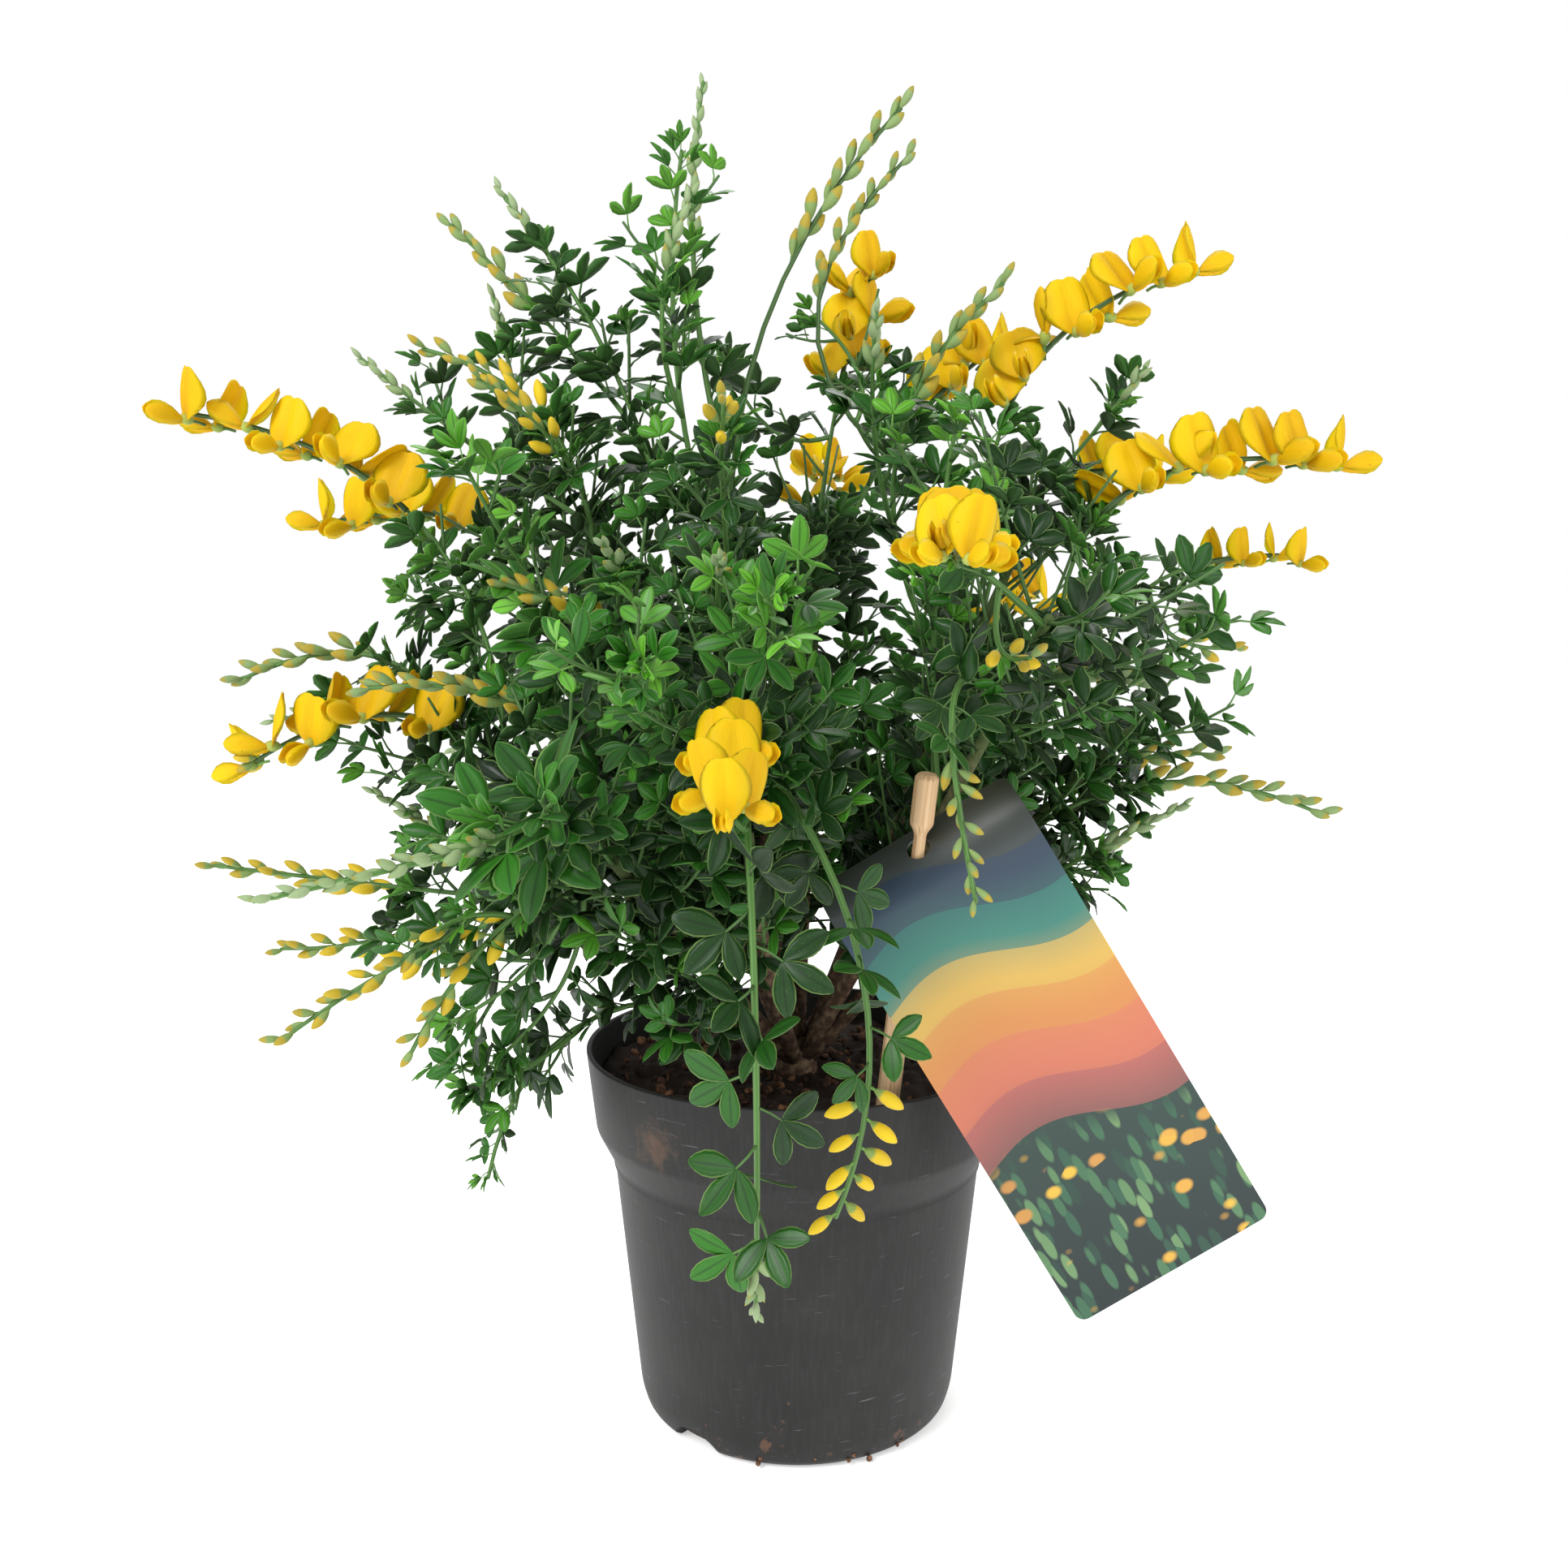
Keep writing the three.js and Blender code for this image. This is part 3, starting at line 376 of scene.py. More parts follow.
def make_piece(name, shapes, stands_for=()):
    """One object from many shapes, each keeping its own finish, in metres and at the origin."""
    finishes = sorted({shape.finish for shape in shapes})
    starts = np.cumsum([0] + [len(shape.points) for shape in shapes])
    quads = np.concatenate([shape.quads + start for shape, start in zip(shapes, starts)])
    tris = np.concatenate([shape.tris + start for shape, start in zip(shapes, starts)])
    kinds = [np.full(len(shape.quads), finishes.index(shape.finish)) for shape in shapes]
    kinds += [np.full(len(shape.tris), finishes.index(shape.finish)) for shape in shapes]
    mesh = bpy.data.meshes.new(name)
    mesh.vertices.add(starts[-1])
    mesh.vertices.foreach_set("co", np.concatenate([shape.points for shape in shapes]).ravel() * MM)
    mesh.loops.add(quads.size + tris.size)
    mesh.loops.foreach_set("vertex_index", np.concatenate([quads.ravel(), tris.ravel()]))
    mesh.polygons.add(len(quads) + len(tris))
    firsts = [4 * np.arange(len(quads)), quads.size + 3 * np.arange(len(tris))]
    mesh.polygons.foreach_set("loop_start", np.concatenate(firsts))
    for finish in finishes:
        mesh.materials.append(bpy.data.materials[finish])
    mesh.polygons.foreach_set("material_index", np.concatenate(kinds))
    mesh.polygons.foreach_set("use_smooth", np.ones(len(mesh.polygons), bool))
    mesh.update(calc_edges=True)
    set_paint(mesh, np.concatenate([shape.paint for shape in shapes]))
    piece = bpy.data.objects.new(name, mesh)
    bpy.context.scene.collection.objects.link(piece)
    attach(piece, "root")
    if stands_for:
        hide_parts(*stands_for)
    triangles[name] = 2 * len(quads) + len(tris)
    return piece


def cut_away(piece, cutter):
    """Cuts one closed piece out of another for good, and removes the cutter."""
    cut = piece.modifiers.new("cut", "BOOLEAN")
    cut.operation = "DIFFERENCE"
    cut.solver = "EXACT"
    cut.object = cutter
    bpy.context.view_layer.update()
    done = piece.evaluated_get(bpy.context.evaluated_depsgraph_get())
    piece.data = bpy.data.meshes.new_from_object(done)
    piece.modifiers.clear()
    bpy.data.objects.remove(cutter)


# %% [markdown]
# ## Materials
# Colours are written as the sRGB hex values that a painter would pick and turned to linear light
# by one function. Another adds a node with its settings and links. Each material then starts from
# what the real one is.

# %% Material helpers
MIX_A, MIX_B, MIX_RESULT = 6, 7, 2  # the colour sockets of a Mix node


def linear(hex_colour):
    """sRGB to linear: below 0.04045 a value is divided by 12.92, above it goes as a 2.4 power."""
    values = np.array([int(hex_colour[k:k + 2], 16) / 255 for k in (1, 3, 5)])
    light = np.where(values <= 0.04045, values / 12.92, ((values + 0.055) / 1.055) ** 2.4)
    return (*light.tolist(), 1.0)


def add_node(tree, kind, inputs=None, stops=None, **settings):
    """Adds one node, with its settings, the values or links of its inputs, and a ramp's stops."""
    node = tree.nodes.new("ShaderNode" + kind)
    for key, value in settings.items():
        setattr(node, key, value)
    for socket, value in (inputs or {}).items():
        if isinstance(value, bpy.types.NodeSocket):
            tree.links.new(value, node.inputs[socket])
        else:
            node.inputs[socket].default_value = value
    if stops:
        while len(node.color_ramp.elements) < len(stops):
            node.color_ramp.elements.new(0.5)
        for element, (position, colour) in zip(node.color_ramp.elements, stops):
            element.position = position
            element.color = linear(colour)
    return node


def new_finish(name, **shader_values):
    """A material with one Principled shader. Gives its node tree and that shader. The solid model
    brings materials of its own, so a name that is taken would be mixed up with one of them."""
    assert name not in bpy.data.materials, name
    material = bpy.data.materials.new(name)
    material.use_nodes = True
    shader = material.node_tree.nodes["Principled BSDF"]
    for socket, value in shader_values.items():
        shader.inputs[socket.replace("_", " ")].default_value = value
    return material.node_tree, shader


def read_paint(tree):
    """The paint on the points: how far along, how far across, the copy's tint, and the face."""
    paint = add_node(tree, "Attribute", attribute_name="paint")
    parts = add_node(tree, "SeparateColor", {"Color": paint.outputs["Color"]})
    return (*(parts.outputs[k] for k in range(3)), paint.outputs["Alpha"])


def place_on(tree):
    """The point's own place in the object's frame, in metres."""
    return add_node(tree, "TexCoord").outputs["Object"]


def repeats(size):
    """The scale of a pattern whose marks have a size in millimetres: how many fit into a metre."""
    return 1 / (size * MM)


# %% [markdown]
# ## The pot
# A nursery pot is injection moulded from recycled polypropylene, about 1.6 mm thick: a tapered
# body, a shoulder, a wider band to grip it by, and arches in the foot that let water out. It could
# be cut from a cylinder, but a turned profile gives every edge the small round of the mould.

# %% Polypropylene
# Moulded polypropylene is a soft satin, a little paler where it is rubbed, with dried soil on it.
# Its clouds are about 36 mm wide, its mould streaks 1 by 25 mm, its scuffs 11 by 1 mm and its
# specks of dirt 6 mm.
tree, shader = new_finish("pot_polypropylene", Roughness=0.52, Specular_IOR_Level=0.3)
place = place_on(tree)
cloudy = add_node(tree, "TexNoise", {"Vector": place, "Scale": repeats(35.7), "Detail": 6,
                                  "Roughness": 0.62})
plastic = add_node(tree, "ValToRGB", {"Fac": cloudy.outputs["Fac"]},
                   stops=[(0.3, "#1B1B1B"), (0.52, "#212120"), (0.75, "#2A2A29")])
drawn_out = add_node(tree, "Mapping", {"Vector": place,
                                       "Scale": (repeats(1.11), repeats(1.11), repeats(25))})
streaks = add_node(tree, "TexNoise", {"Vector": drawn_out.outputs["Vector"], "Scale": 1, "Detail": 2})
streak_mask = add_node(tree, "MapRange", {"Value": streaks.outputs["Fac"], "From Min": 0.45,
                                          "From Max": 0.75, "To Max": 0.1})
streaked = add_node(tree, "Mix", {0: streak_mask.outputs[0], MIX_A: plastic.outputs["Color"],
                                  MIX_B: linear("#4E4F50")}, data_type="RGBA")
scuff_place = add_node(tree, "Mapping", {"Vector": place, "Rotation": (0, 0.5, 0.4),
                                         "Scale": (repeats(11.1), repeats(11.1), repeats(1.11))})
scuffs = add_node(tree, "TexNoise", {"Vector": scuff_place.outputs["Vector"], "Scale": 1, "Detail": 5})
scuff_mask = add_node(tree, "MapRange", {"Value": scuffs.outputs["Fac"], "From Min": 0.68,
                                         "From Max": 0.76, "To Max": 0.4})
scuffed = add_node(tree, "Mix", {0: scuff_mask.outputs[0], MIX_A: streaked.outputs[MIX_RESULT],
                                 MIX_B: linear("#7E8082")}, data_type="RGBA")
height = add_node(tree, "SeparateXYZ", {"Vector": place})
low_down = add_node(tree, "MapRange", {"Value": height.outputs["Z"], "From Min": 0.0, "From Max": 0.03,
                                       "To Min": 0.13, "To Max": 0.0})
grime = add_node(tree, "TexNoise", {"Vector": place, "Scale": repeats(5.88), "Detail": 6,
                                    "Roughness": 0.7})
grime_sum = add_node(tree, "Math", {0: grime.outputs["Fac"], 1: low_down.outputs[0]}, operation="ADD")
grime_mask = add_node(tree, "MapRange", {"Value": grime_sum.outputs[0], "From Min": 0.69,
                                         "From Max": 0.75, "To Max": 0.9})
dirty = add_node(tree, "Mix", {0: grime_mask.outputs[0], MIX_A: scuffed.outputs[MIX_RESULT],
                               MIX_B: linear("#5A4132")}, data_type="RGBA")
STAIN_PLACE = (-0.039, -0.047, 0.099)  # one rusty mark on the band
off_stain = add_node(tree, "VectorMath", {0: place, 1: STAIN_PLACE}, operation="DISTANCE")
ragged = add_node(tree, "MapRange", {"Value": grime.outputs["Fac"], "From Min": 0.3, "From Max": 0.7,
                                     "To Min": 0.004, "To Max": -0.005})
stain_edge = add_node(tree, "Math", {0: off_stain.outputs["Value"], 1: ragged.outputs[0]},
                      operation="ADD")
stain = add_node(tree, "MapRange", {"Value": stain_edge.outputs[0], "From Min": 0.007, "From Max": 0.001,
                                    "To Max": 0.5})
stained = add_node(tree, "Mix", {0: stain.outputs[0], MIX_A: dirty.outputs[MIX_RESULT],
                                 MIX_B: linear("#6B4E3A")}, data_type="RGBA")
tree.links.new(stained.outputs[MIX_RESULT], shader.inputs["Base Color"])
relief = add_node(tree, "Bump", {"Height": streaks.outputs["Fac"], "Strength": 0.12, "Distance": 0.0004})
tree.links.new(relief.outputs["Normal"], shader.inputs["Normal"])
print("pot material:", len(tree.nodes), "nodes")


# %% Turned pot
def rounded(profile, radii, steps=4):
    """Each inner corner of an outline becomes a parabola from its radius before it to its radius
    after it. A radius of 0 keeps the corner."""
    profile = np.array(profile, float)
    made = [profile[:1]]
    for k, radius in enumerate(radii, start=1):
        if not radius:
            made.append(profile[k:k + 1])
            continue
        before = profile[k] + radius * unit(profile[k - 1] - profile[k])
        after = profile[k] + radius * unit(profile[k + 1] - profile[k])
        made.append(curve_points([before, profile[k], after], np.linspace(0, 1, steps + 1)))
    made.append(profile[-1:])
    return np.concatenate(made)


def turned(finish, profile, sides, tint=0.5):
    """A profile of radius and height carried round the Z axis, with its two ends on the axis."""
    angles = 2 * np.pi * np.arange(sides) / sides
    radius, height = profile[1:-1, 0], profile[1:-1, 1]
    rings = np.stack([radius[:, None] * np.cos(angles), radius[:, None] * np.sin(angles),
                      np.repeat(height[:, None], sides, axis=1)], axis=-1)
    return ringed(finish, rings, (0, 0, profile[0, 1]), (0, 0, profile[-1, 1]), tint)


def pot_inside(gap):
    """The pot's inside from its rim down to the middle of its floor, drawn in by a gap. The wall is
    thicker at its bends, so the inside turns a little higher up than the outside."""
    inset = POT_WALL["side"] + gap
    slack = 0.8 + gap
    return [(POT["rim"] - inset, POT["height"]),
            (POT["band"] - inset, POT["band_foot"] + slack),
            (POT["body"] - inset, POT["shoulder"] + slack),
            (POT_FOOT["radius"] - inset, POT_FOOT["edge"] + gap),
            (POT_FOOT["radius"] - POT_WALL["inner_corner"] - gap, POT_WALL["floor"] + gap),
            (0, POT_WALL["floor"] + gap)]


# %% The pot's outline
outside = [(0, 0), (POT_FOOT["flat"], 0), (POT_FOOT["heel"], POT_FOOT["heel_height"]),
           (POT_FOOT["radius"], POT_FOOT["edge"]),
           (POT["body"] - 0.25, POT["shoulder"] - 1.4), (POT["body"] + 0.1, POT["shoulder"] - 0.9),
           (POT["body"], POT["shoulder"]), (POT["band"], POT["band_foot"]), (POT["rim"], POT["height"])]
corner_radii = [0.8, 1.5, 2.5, 0.3, 0.3, 1.6, 1.2, 0.6, 0.6, 3, 3, 2, 1]
pot_profile = rounded(outside + pot_inside(0), corner_radii)
pot = make_piece("nursery_pot", [turned("pot_polypropylene", pot_profile, 160)], ["pot"])
print("points in the outline:", len(pot_profile))

# %% Drain arches
# An arch is half an ellipse cut through the wall where it meets the foot.
for azimuth in POT_ARCH_AZIMUTHS:
    angles = 2 * np.pi * np.arange(40) / 40
    reach = POT_FOOT["radius"] + np.array([-0.5, 0.5]) * POT_ARCH["depth"]
    across = POT_ARCH["width"] / 2 * np.cos(angles)
    upward = POT_ARCH["height"] * np.sin(angles)
    rings = np.stack(np.broadcast_arrays(reach[:, None], across, upward), axis=-1)
    arch = ringed("pot_polypropylene", rings, (reach[0], 0, 0), (reach[1], 0, 0))
    cut_away(pot, make_piece("arch", [placed(arch, azimuth, (0, 0, 0))]))
pot.data.set_sharp_from_angle(angle=math.radians(38))
print("pot:", len(pot.data.polygons), "faces")

# %% [markdown]
# ## The soil
# Potting soil is peat and composted bark. Its top is a lumpy field with loose chips. A bump in a
# flat disc would look smooth from the side, so a sum of waves lifts the ground itself, and small
# knocked-about lumps are the chips.

# %% Peat
# Damp peat is nearly black and fully matt, and the bark in it is a warmer brown. Its crumbs are
# about 1.4 mm.
tree, shader = new_finish("peat", Roughness=0.95)
along, across, tint, face = read_paint(tree)
crumbs = add_node(tree, "TexNoise", {"Vector": place_on(tree), "Scale": repeats(1.43),
                                     "Detail": 4})
shade = add_node(tree, "Math", {0: tint, 1: crumbs.outputs["Fac"]}, operation="MULTIPLY")
peat = add_node(tree, "ValToRGB", {"Fac": shade.outputs[0]},
                stops=[(0.0, "#17100C"), (0.3, "#2E1E16"), (0.55, "#5A3C2A"), (0.8, "#8A6244")])
tree.links.new(peat.outputs["Color"], shader.inputs["Base Color"])
relief = add_node(tree, "Bump", {"Height": crumbs.outputs["Fac"], "Strength": 0.6, "Distance": 0.0006})
tree.links.new(relief.outputs["Normal"], shader.inputs["Normal"])
print("peat:", len(tree.nodes), "nodes")


# %% Soil
def soil_height(x, y):
    """The level plus a broad wave, two finer ones across it and a fine grain."""
    broad = np.sin(x / 7 + 1) * np.cos(y / 7)
    fine = 0.6 * np.sin((x - y) / 2.6) + 0.5 * np.sin((x + 0.7 * y) / 1.7 + 2)
    return SOIL_LEVEL + 1.1 * (broad + fine)


SOIL_SIDES = 120
SOIL_RINGS = 44
SOIL_INSET = 2.3  # from the pot's outside to the edge of the soil's top
below = np.array(pot_inside(GAP)[::-1])
outer_radius = np.interp(SOIL_LEVEL, [POT["band_foot"], POT["height"]], [POT["band"], POT["rim"]])
top_radius = outer_radius - SOIL_INSET
profile = np.concatenate([below[:-1], [[top_radius, SOIL_LEVEL - 2]],
                          np.stack([np.linspace(top_radius, 1, SOIL_RINGS),
                                    np.full(SOIL_RINGS, SOIL_LEVEL)], axis=1), [[0, SOIL_LEVEL]]])
soil = turned("peat", profile, SOIL_SIDES, 0.45)
on_top = soil.points[:, 2] > SOIL_LEVEL - 1
grain = draw.uniform(-0.5, 0.5, on_top.sum())
soil.points[on_top, 2] = soil_height(soil.points[on_top, 0], soil.points[on_top, 1]) + grain
print("soil top:", round(2 * top_radius), "mm across")


# %% Chips and crumbs
def lump(seed):
    """A knocked-about lump: the radius of each point of a ball is drawn between 0.7 and 1.2."""
    rough = np.random.default_rng(seed)
    polar, turns = np.radians([35, 75, 110, 145]), 2 * np.pi * np.arange(7) / 7
    radius = rough.uniform(0.7, 1.2, (4, 7))
    rings = np.stack([radius * np.sin(polar)[:, None] * np.cos(turns),
                      radius * np.sin(polar)[:, None] * np.sin(turns),
                      radius * np.cos(polar)[:, None] * np.ones(7)], axis=-1)
    return ringed("peat", rings, (0, 0, 0.9), (0, 0, -0.9))


def random_frames(count):
    """Frames turned every way: the two square directions come from random vectors."""
    forward = unit(draw.normal(size=(count, 3)))
    across = unit(np.cross(forward, draw.normal(size=(count, 3))))
    return np.stack([forward, across, np.cross(forward, across)], axis=-1)


CHIPS = 420
CHIP_REACH = 59.0  # how far from the middle they lie
radius = CHIP_REACH * np.sqrt(draw.uniform(0.02, 1, CHIPS))
angle = draw.uniform(0, 2 * np.pi, CHIPS)
chip_places = np.stack([radius * np.cos(angle), radius * np.sin(angle), np.zeros(CHIPS)], axis=1)
chip_places[:, 2] = soil_height(chip_places[:, 0], chip_places[:, 1]) + 0.5
stretch = draw.uniform(0.35, 1.0, (CHIPS, 1, 3)) * draw.uniform(1.0, 2.6, (CHIPS, 1, 1))
chips = stamp([lump(3)], random_frames(CHIPS) * stretch, chip_places, np.ones(CHIPS),
              draw.uniform(0.4, 1.5, CHIPS))
CRUMB_AZIMUTHS = (-104, -103, -84, -72, -70, -64, -52, -50)
CRUMB_REACH = 48.0  # just past the pot's foot
crumb_turns = np.radians(CRUMB_AZIMUTHS)
crumb_places = np.stack([CRUMB_REACH * np.cos(crumb_turns), CRUMB_REACH * np.sin(crumb_turns),
                         draw.uniform(1.0, 4.0, len(crumb_turns))], axis=1)
crumbs_at_foot = stamp([lump(5)], random_frames(len(crumb_turns)) * 1.3, crumb_places,
                       draw.uniform(0.4, 0.75, len(crumb_turns)), np.full(len(crumb_turns), 1.3))
make_piece("potting_soil", [soil, *chips, *crumbs_at_foot], ["soil"])
print("soil:", triangles["potting_soil"], "triangles")

# %% [markdown]
# ## The stake
# The stick is turned birch. A flared shoulder above a carved neck keeps the label from sliding off.
# A lathe shapes the real one, so an outline is turned here too and then leant over. The grain runs
# along it, so the pattern follows how far along and how far round each point is.

# %% Birch
# Sanded birch is a pale satin with fine darker grain and open pores. A line of its grain is about
# 0.8 mm wide, so that it shows.
GRAIN_WIDTH = 0.785
tree, shader = new_finish("birch", Roughness=0.62)
along, across, tint, face = read_paint(tree)
grain_place = add_node(tree, "CombineXYZ", {"X": along, "Y": across})
grain_lines = 2 * math.pi * STAKE["radius"] / GRAIN_WIDTH
stretched = add_node(tree, "Mapping", {"Vector": grain_place.outputs[0], "Scale": (5, grain_lines, 1)})
grain = add_node(tree, "TexNoise", {"Vector": stretched.outputs[0], "Scale": 1, "Detail": 5})
wood = add_node(tree, "ValToRGB", {"Fac": grain.outputs["Fac"]},
                stops=[(0.3, "#B88D60"), (0.5, "#D9B488"), (0.7, "#E9CBA3")])
tree.links.new(wood.outputs["Color"], shader.inputs["Base Color"])
relief = add_node(tree, "Bump", {"Height": grain.outputs["Fac"], "Strength": 0.25, "Distance": 0.0003})
tree.links.new(relief.outputs["Normal"], shader.inputs["Normal"])
print("grain lines round the stake:", round(grain_lines))


# %% Turned stake
def bar_frame(direction):
    """Two directions square to a line and to each other."""
    side = unit(np.cross(direction, [0.0, 1.0, 0.0]))
    return side, np.cross(direction, side)


hole_along = np.linalg.norm(LABEL_HOLE - STAKE_FOOT)
stake_axis = (LABEL_HOLE - STAKE_FOOT) / hole_along
thick, thin = STAKE["radius"], STAKE["neck"]
stake_profile = rounded(
    [(0, 0), (thick - 2, 0), (thick, 8), (thick, hole_along - STAKE["taper"]),
     (thin, hole_along - STAKE["neck_half"]), (thin, hole_along + STAKE["neck_half"]),
     (thick, hole_along + STAKE["taper"]), (thick, hole_along + STAKE["above"] - 1),
     (thick - 1, hole_along + STAKE["above"]), (0, hole_along + STAKE["above"])],
    [0.6, 1.5, 1, 1, 1, 1, 0.5, 0.4])
straight = turned("birch", stake_profile, 28)
side, other = bar_frame(stake_axis)
stood = straight.points @ np.array([side, other, stake_axis]) + STAKE_FOOT
stake = outward(straight._replace(points=stood))
make_piece("birch_stake", [stake], ["stake"])
print("stake leans", round(math.degrees(math.acos(stake_axis[2])), 1), "degrees")

# %% [markdown]
# ## The label
# The label is a coated card, 60 by 145 mm, punched and hung on the stake's neck, where its top
# curls back. Its print is plain: rolling bands in warm and cool colours over a field of leaf dabs.
# It could be a plane bent by a modifier, but the curl is an arc of a circle, so the sheet is worked
# out from the way down from its top edge, and the hole is cut through it.

# %% Bare board
# The card's back and edges are matt white board, and its fibres are about 0.7 mm long.
tree, shader = new_finish("card_back", Roughness=0.7)
fibres = add_node(tree, "TexNoise", {"Vector": place_on(tree), "Scale": repeats(0.667),
                                     "Detail": 3})
board = add_node(tree, "ValToRGB", {"Fac": fibres.outputs["Fac"]},
                 stops=[(0.3, "#E6E2DA"), (0.7, "#F3F0EA")])
tree.links.new(board.outputs["Color"], shader.inputs["Base Color"])

# %% Printed card
# A coated card has a smooth satin face, which gives soft wide reflections. The leaf dabs are about
# 3 by 10 mm and the petal dabs 7.5 by 5.6 mm.
tree, shader = new_finish("card_print", Roughness=0.38)
across, down, tint, face = read_paint(tree)
flat_place = add_node(tree, "CombineXYZ", {"X": across, "Y": down})
sway = add_node(tree, "Math", {0: across, 1: 5.2}, operation="MULTIPLY")
wave = add_node(tree, "Math", {0: sway.outputs[0]}, operation="SINE")
rise = add_node(tree, "Math", {0: wave.outputs[0], 1: 0.035}, operation="MULTIPLY")
hill = add_node(tree, "Math", {0: down, 1: rise.outputs[0]}, operation="ADD")
bands = add_node(tree, "ValToRGB", {"Fac": hill.outputs[0]},
                 stops=[(0.0, "#45463A"), (0.11, "#2C3B4E"), (0.2, "#2C6E66"), (0.3, "#C9A24A"),
                        (0.38, "#C4803F"), (0.47, "#C46B50"), (0.57, "#A05355"), (0.66, "#182A2C")])
bands.color_ramp.interpolation = "CONSTANT"
soft_bands = add_node(tree, "ValToRGB", {"Fac": hill.outputs[0]},
                      stops=[(0.0, "#3A3D34"), (0.15, "#30465A"), (0.27, "#458A78"), (0.36, "#D2AE58"),
                             (0.44, "#CD8A50"), (0.55, "#BF6E5A"), (0.66, "#344E42"), (1.0, "#101A1A")])
blended = add_node(tree, "Mix", {0: 0.45, MIX_A: bands.outputs["Color"],
                                 MIX_B: soft_bands.outputs["Color"]}, data_type="RGBA")
dab_place = add_node(tree, "Mapping", {"Vector": flat_place.outputs[0], "Rotation": (0, 0, 0.6),
                                       "Scale": (LABEL["width"] / 3.16, LABEL["length"] / 9.67, 1)})
dabs = add_node(tree, "TexVoronoi", {"Vector": dab_place.outputs[0], "Scale": 1})
leaf_tone = add_node(tree, "SeparateColor", {"Color": dabs.outputs["Color"]})
leaf_dab = add_node(tree, "ValToRGB", {"Fac": leaf_tone.outputs[0]},
                    stops=[(0.0, "#1C3A31"), (0.45, "#2F5C44"), (0.75, "#456F4C"), (1.0, "#6E9160")])
in_dab = add_node(tree, "MapRange", {"Value": dabs.outputs["Distance"], "From Min": 0.5,
                                     "From Max": 0.4})
field = add_node(tree, "MapRange", {"Value": hill.outputs[0], "From Min": 0.655, "From Max": 0.7})
leafy = add_node(tree, "Math", {0: in_dab.outputs[0], 1: field.outputs[0]}, operation="MULTIPLY")
with_leaves = add_node(tree, "Mix", {0: leafy.outputs[0], MIX_A: blended.outputs[MIX_RESULT],
                                     MIX_B: leaf_dab.outputs["Color"]}, data_type="RGBA")
petal_place = add_node(tree, "Mapping", {"Vector": flat_place.outputs[0], "Location": (0.3, 0.1, 0),
                                         "Rotation": (0, 0, -0.9),
                                         "Scale": (LABEL["width"] / 7.5, LABEL["length"] / 5.58, 1)})
petals = add_node(tree, "TexVoronoi", {"Vector": petal_place.outputs[0], "Scale": 1})
petal_tone = add_node(tree, "SeparateColor", {"Color": petals.outputs["Color"]})
petal_dab = add_node(tree, "ValToRGB", {"Fac": petal_tone.outputs[1]},
                     stops=[(0.0, "#B98344"), (0.5, "#CC9A3E"), (1.0, "#E0B43A")])
in_petal = add_node(tree, "MapRange", {"Value": petals.outputs["Distance"], "From Min": 0.42,
                                       "From Max": 0.3})
chosen = add_node(tree, "Math", {0: petal_tone.outputs[0], 1: 0.55}, operation="GREATER_THAN")
picked = add_node(tree, "Math", {0: in_petal.outputs[0], 1: chosen.outputs[0]}, operation="MULTIPLY")
yellow = add_node(tree, "Math", {0: picked.outputs[0], 1: field.outputs[0]}, operation="MULTIPLY")
printed = add_node(tree, "Mix", {0: yellow.outputs[0], MIX_A: with_leaves.outputs[MIX_RESULT],
                                 MIX_B: petal_dab.outputs["Color"]}, data_type="RGBA")
tree.links.new(printed.outputs[MIX_RESULT], shader.inputs["Base Color"])
print("label print:", len(tree.nodes), "nodes")

# %% Curled sheet
LABEL_ACROSS = np.array([math.cos(math.radians(LABEL_LEAN)), 0, math.sin(math.radians(LABEL_LEAN))])
LABEL_UP = np.array([-math.sin(math.radians(LABEL_LEAN)), 0, math.cos(math.radians(LABEL_LEAN))])
LABEL_FRONT = np.array([0.0, -1.0, 0.0])
LABEL_AXES = np.array([LABEL_ACROSS, LABEL_UP, LABEL_FRONT])
CURL_FOOT = LABEL["length"] / 2 - LABEL_CURL["start"]


def on_card(down):
    """Height and depth of the card's middle, and its normal, some way down from its top edge. Above
    the curl's foot the card follows a circle, so the angle is the length left over the radius."""
    curl = np.maximum(0, LABEL_CURL["start"] - down) / LABEL_CURL["radius"]
    height = np.minimum(LABEL["length"] / 2 - down, CURL_FOOT) + LABEL_CURL["radius"] * np.sin(curl)
    depth = LABEL_CURL["radius"] * (np.cos(curl) - 1)
    return height, depth, np.sin(curl), np.cos(curl)


# %% The card
corner_steps = LABEL["corner"] * (1 - np.cos(np.linspace(0, np.pi / 2, 7)))
downs = np.concatenate([corner_steps, np.arange(4, 21, 1.0), np.linspace(24, LABEL["length"] - 4, 34),
                        LABEL["length"] - corner_steps[::-1]])
from_end = np.minimum(np.minimum(downs, LABEL["length"] - downs), LABEL["corner"])
corner_in = LABEL["corner"] - np.sqrt(LABEL["corner"] ** 2 - (LABEL["corner"] - from_end) ** 2)
half_widths = LABEL["width"] / 2 - corner_in
heights, depths, normal_up, normal_front = on_card(downs)
hole_down = np.array(LABEL["hole_down"])
hole_height, hole_depth, hole_up, hole_front = (float(value) for value in on_card(hole_down))
CARD_COLUMNS = 25
shares = np.linspace(-1, 1, CARD_COLUMNS)
rings = []
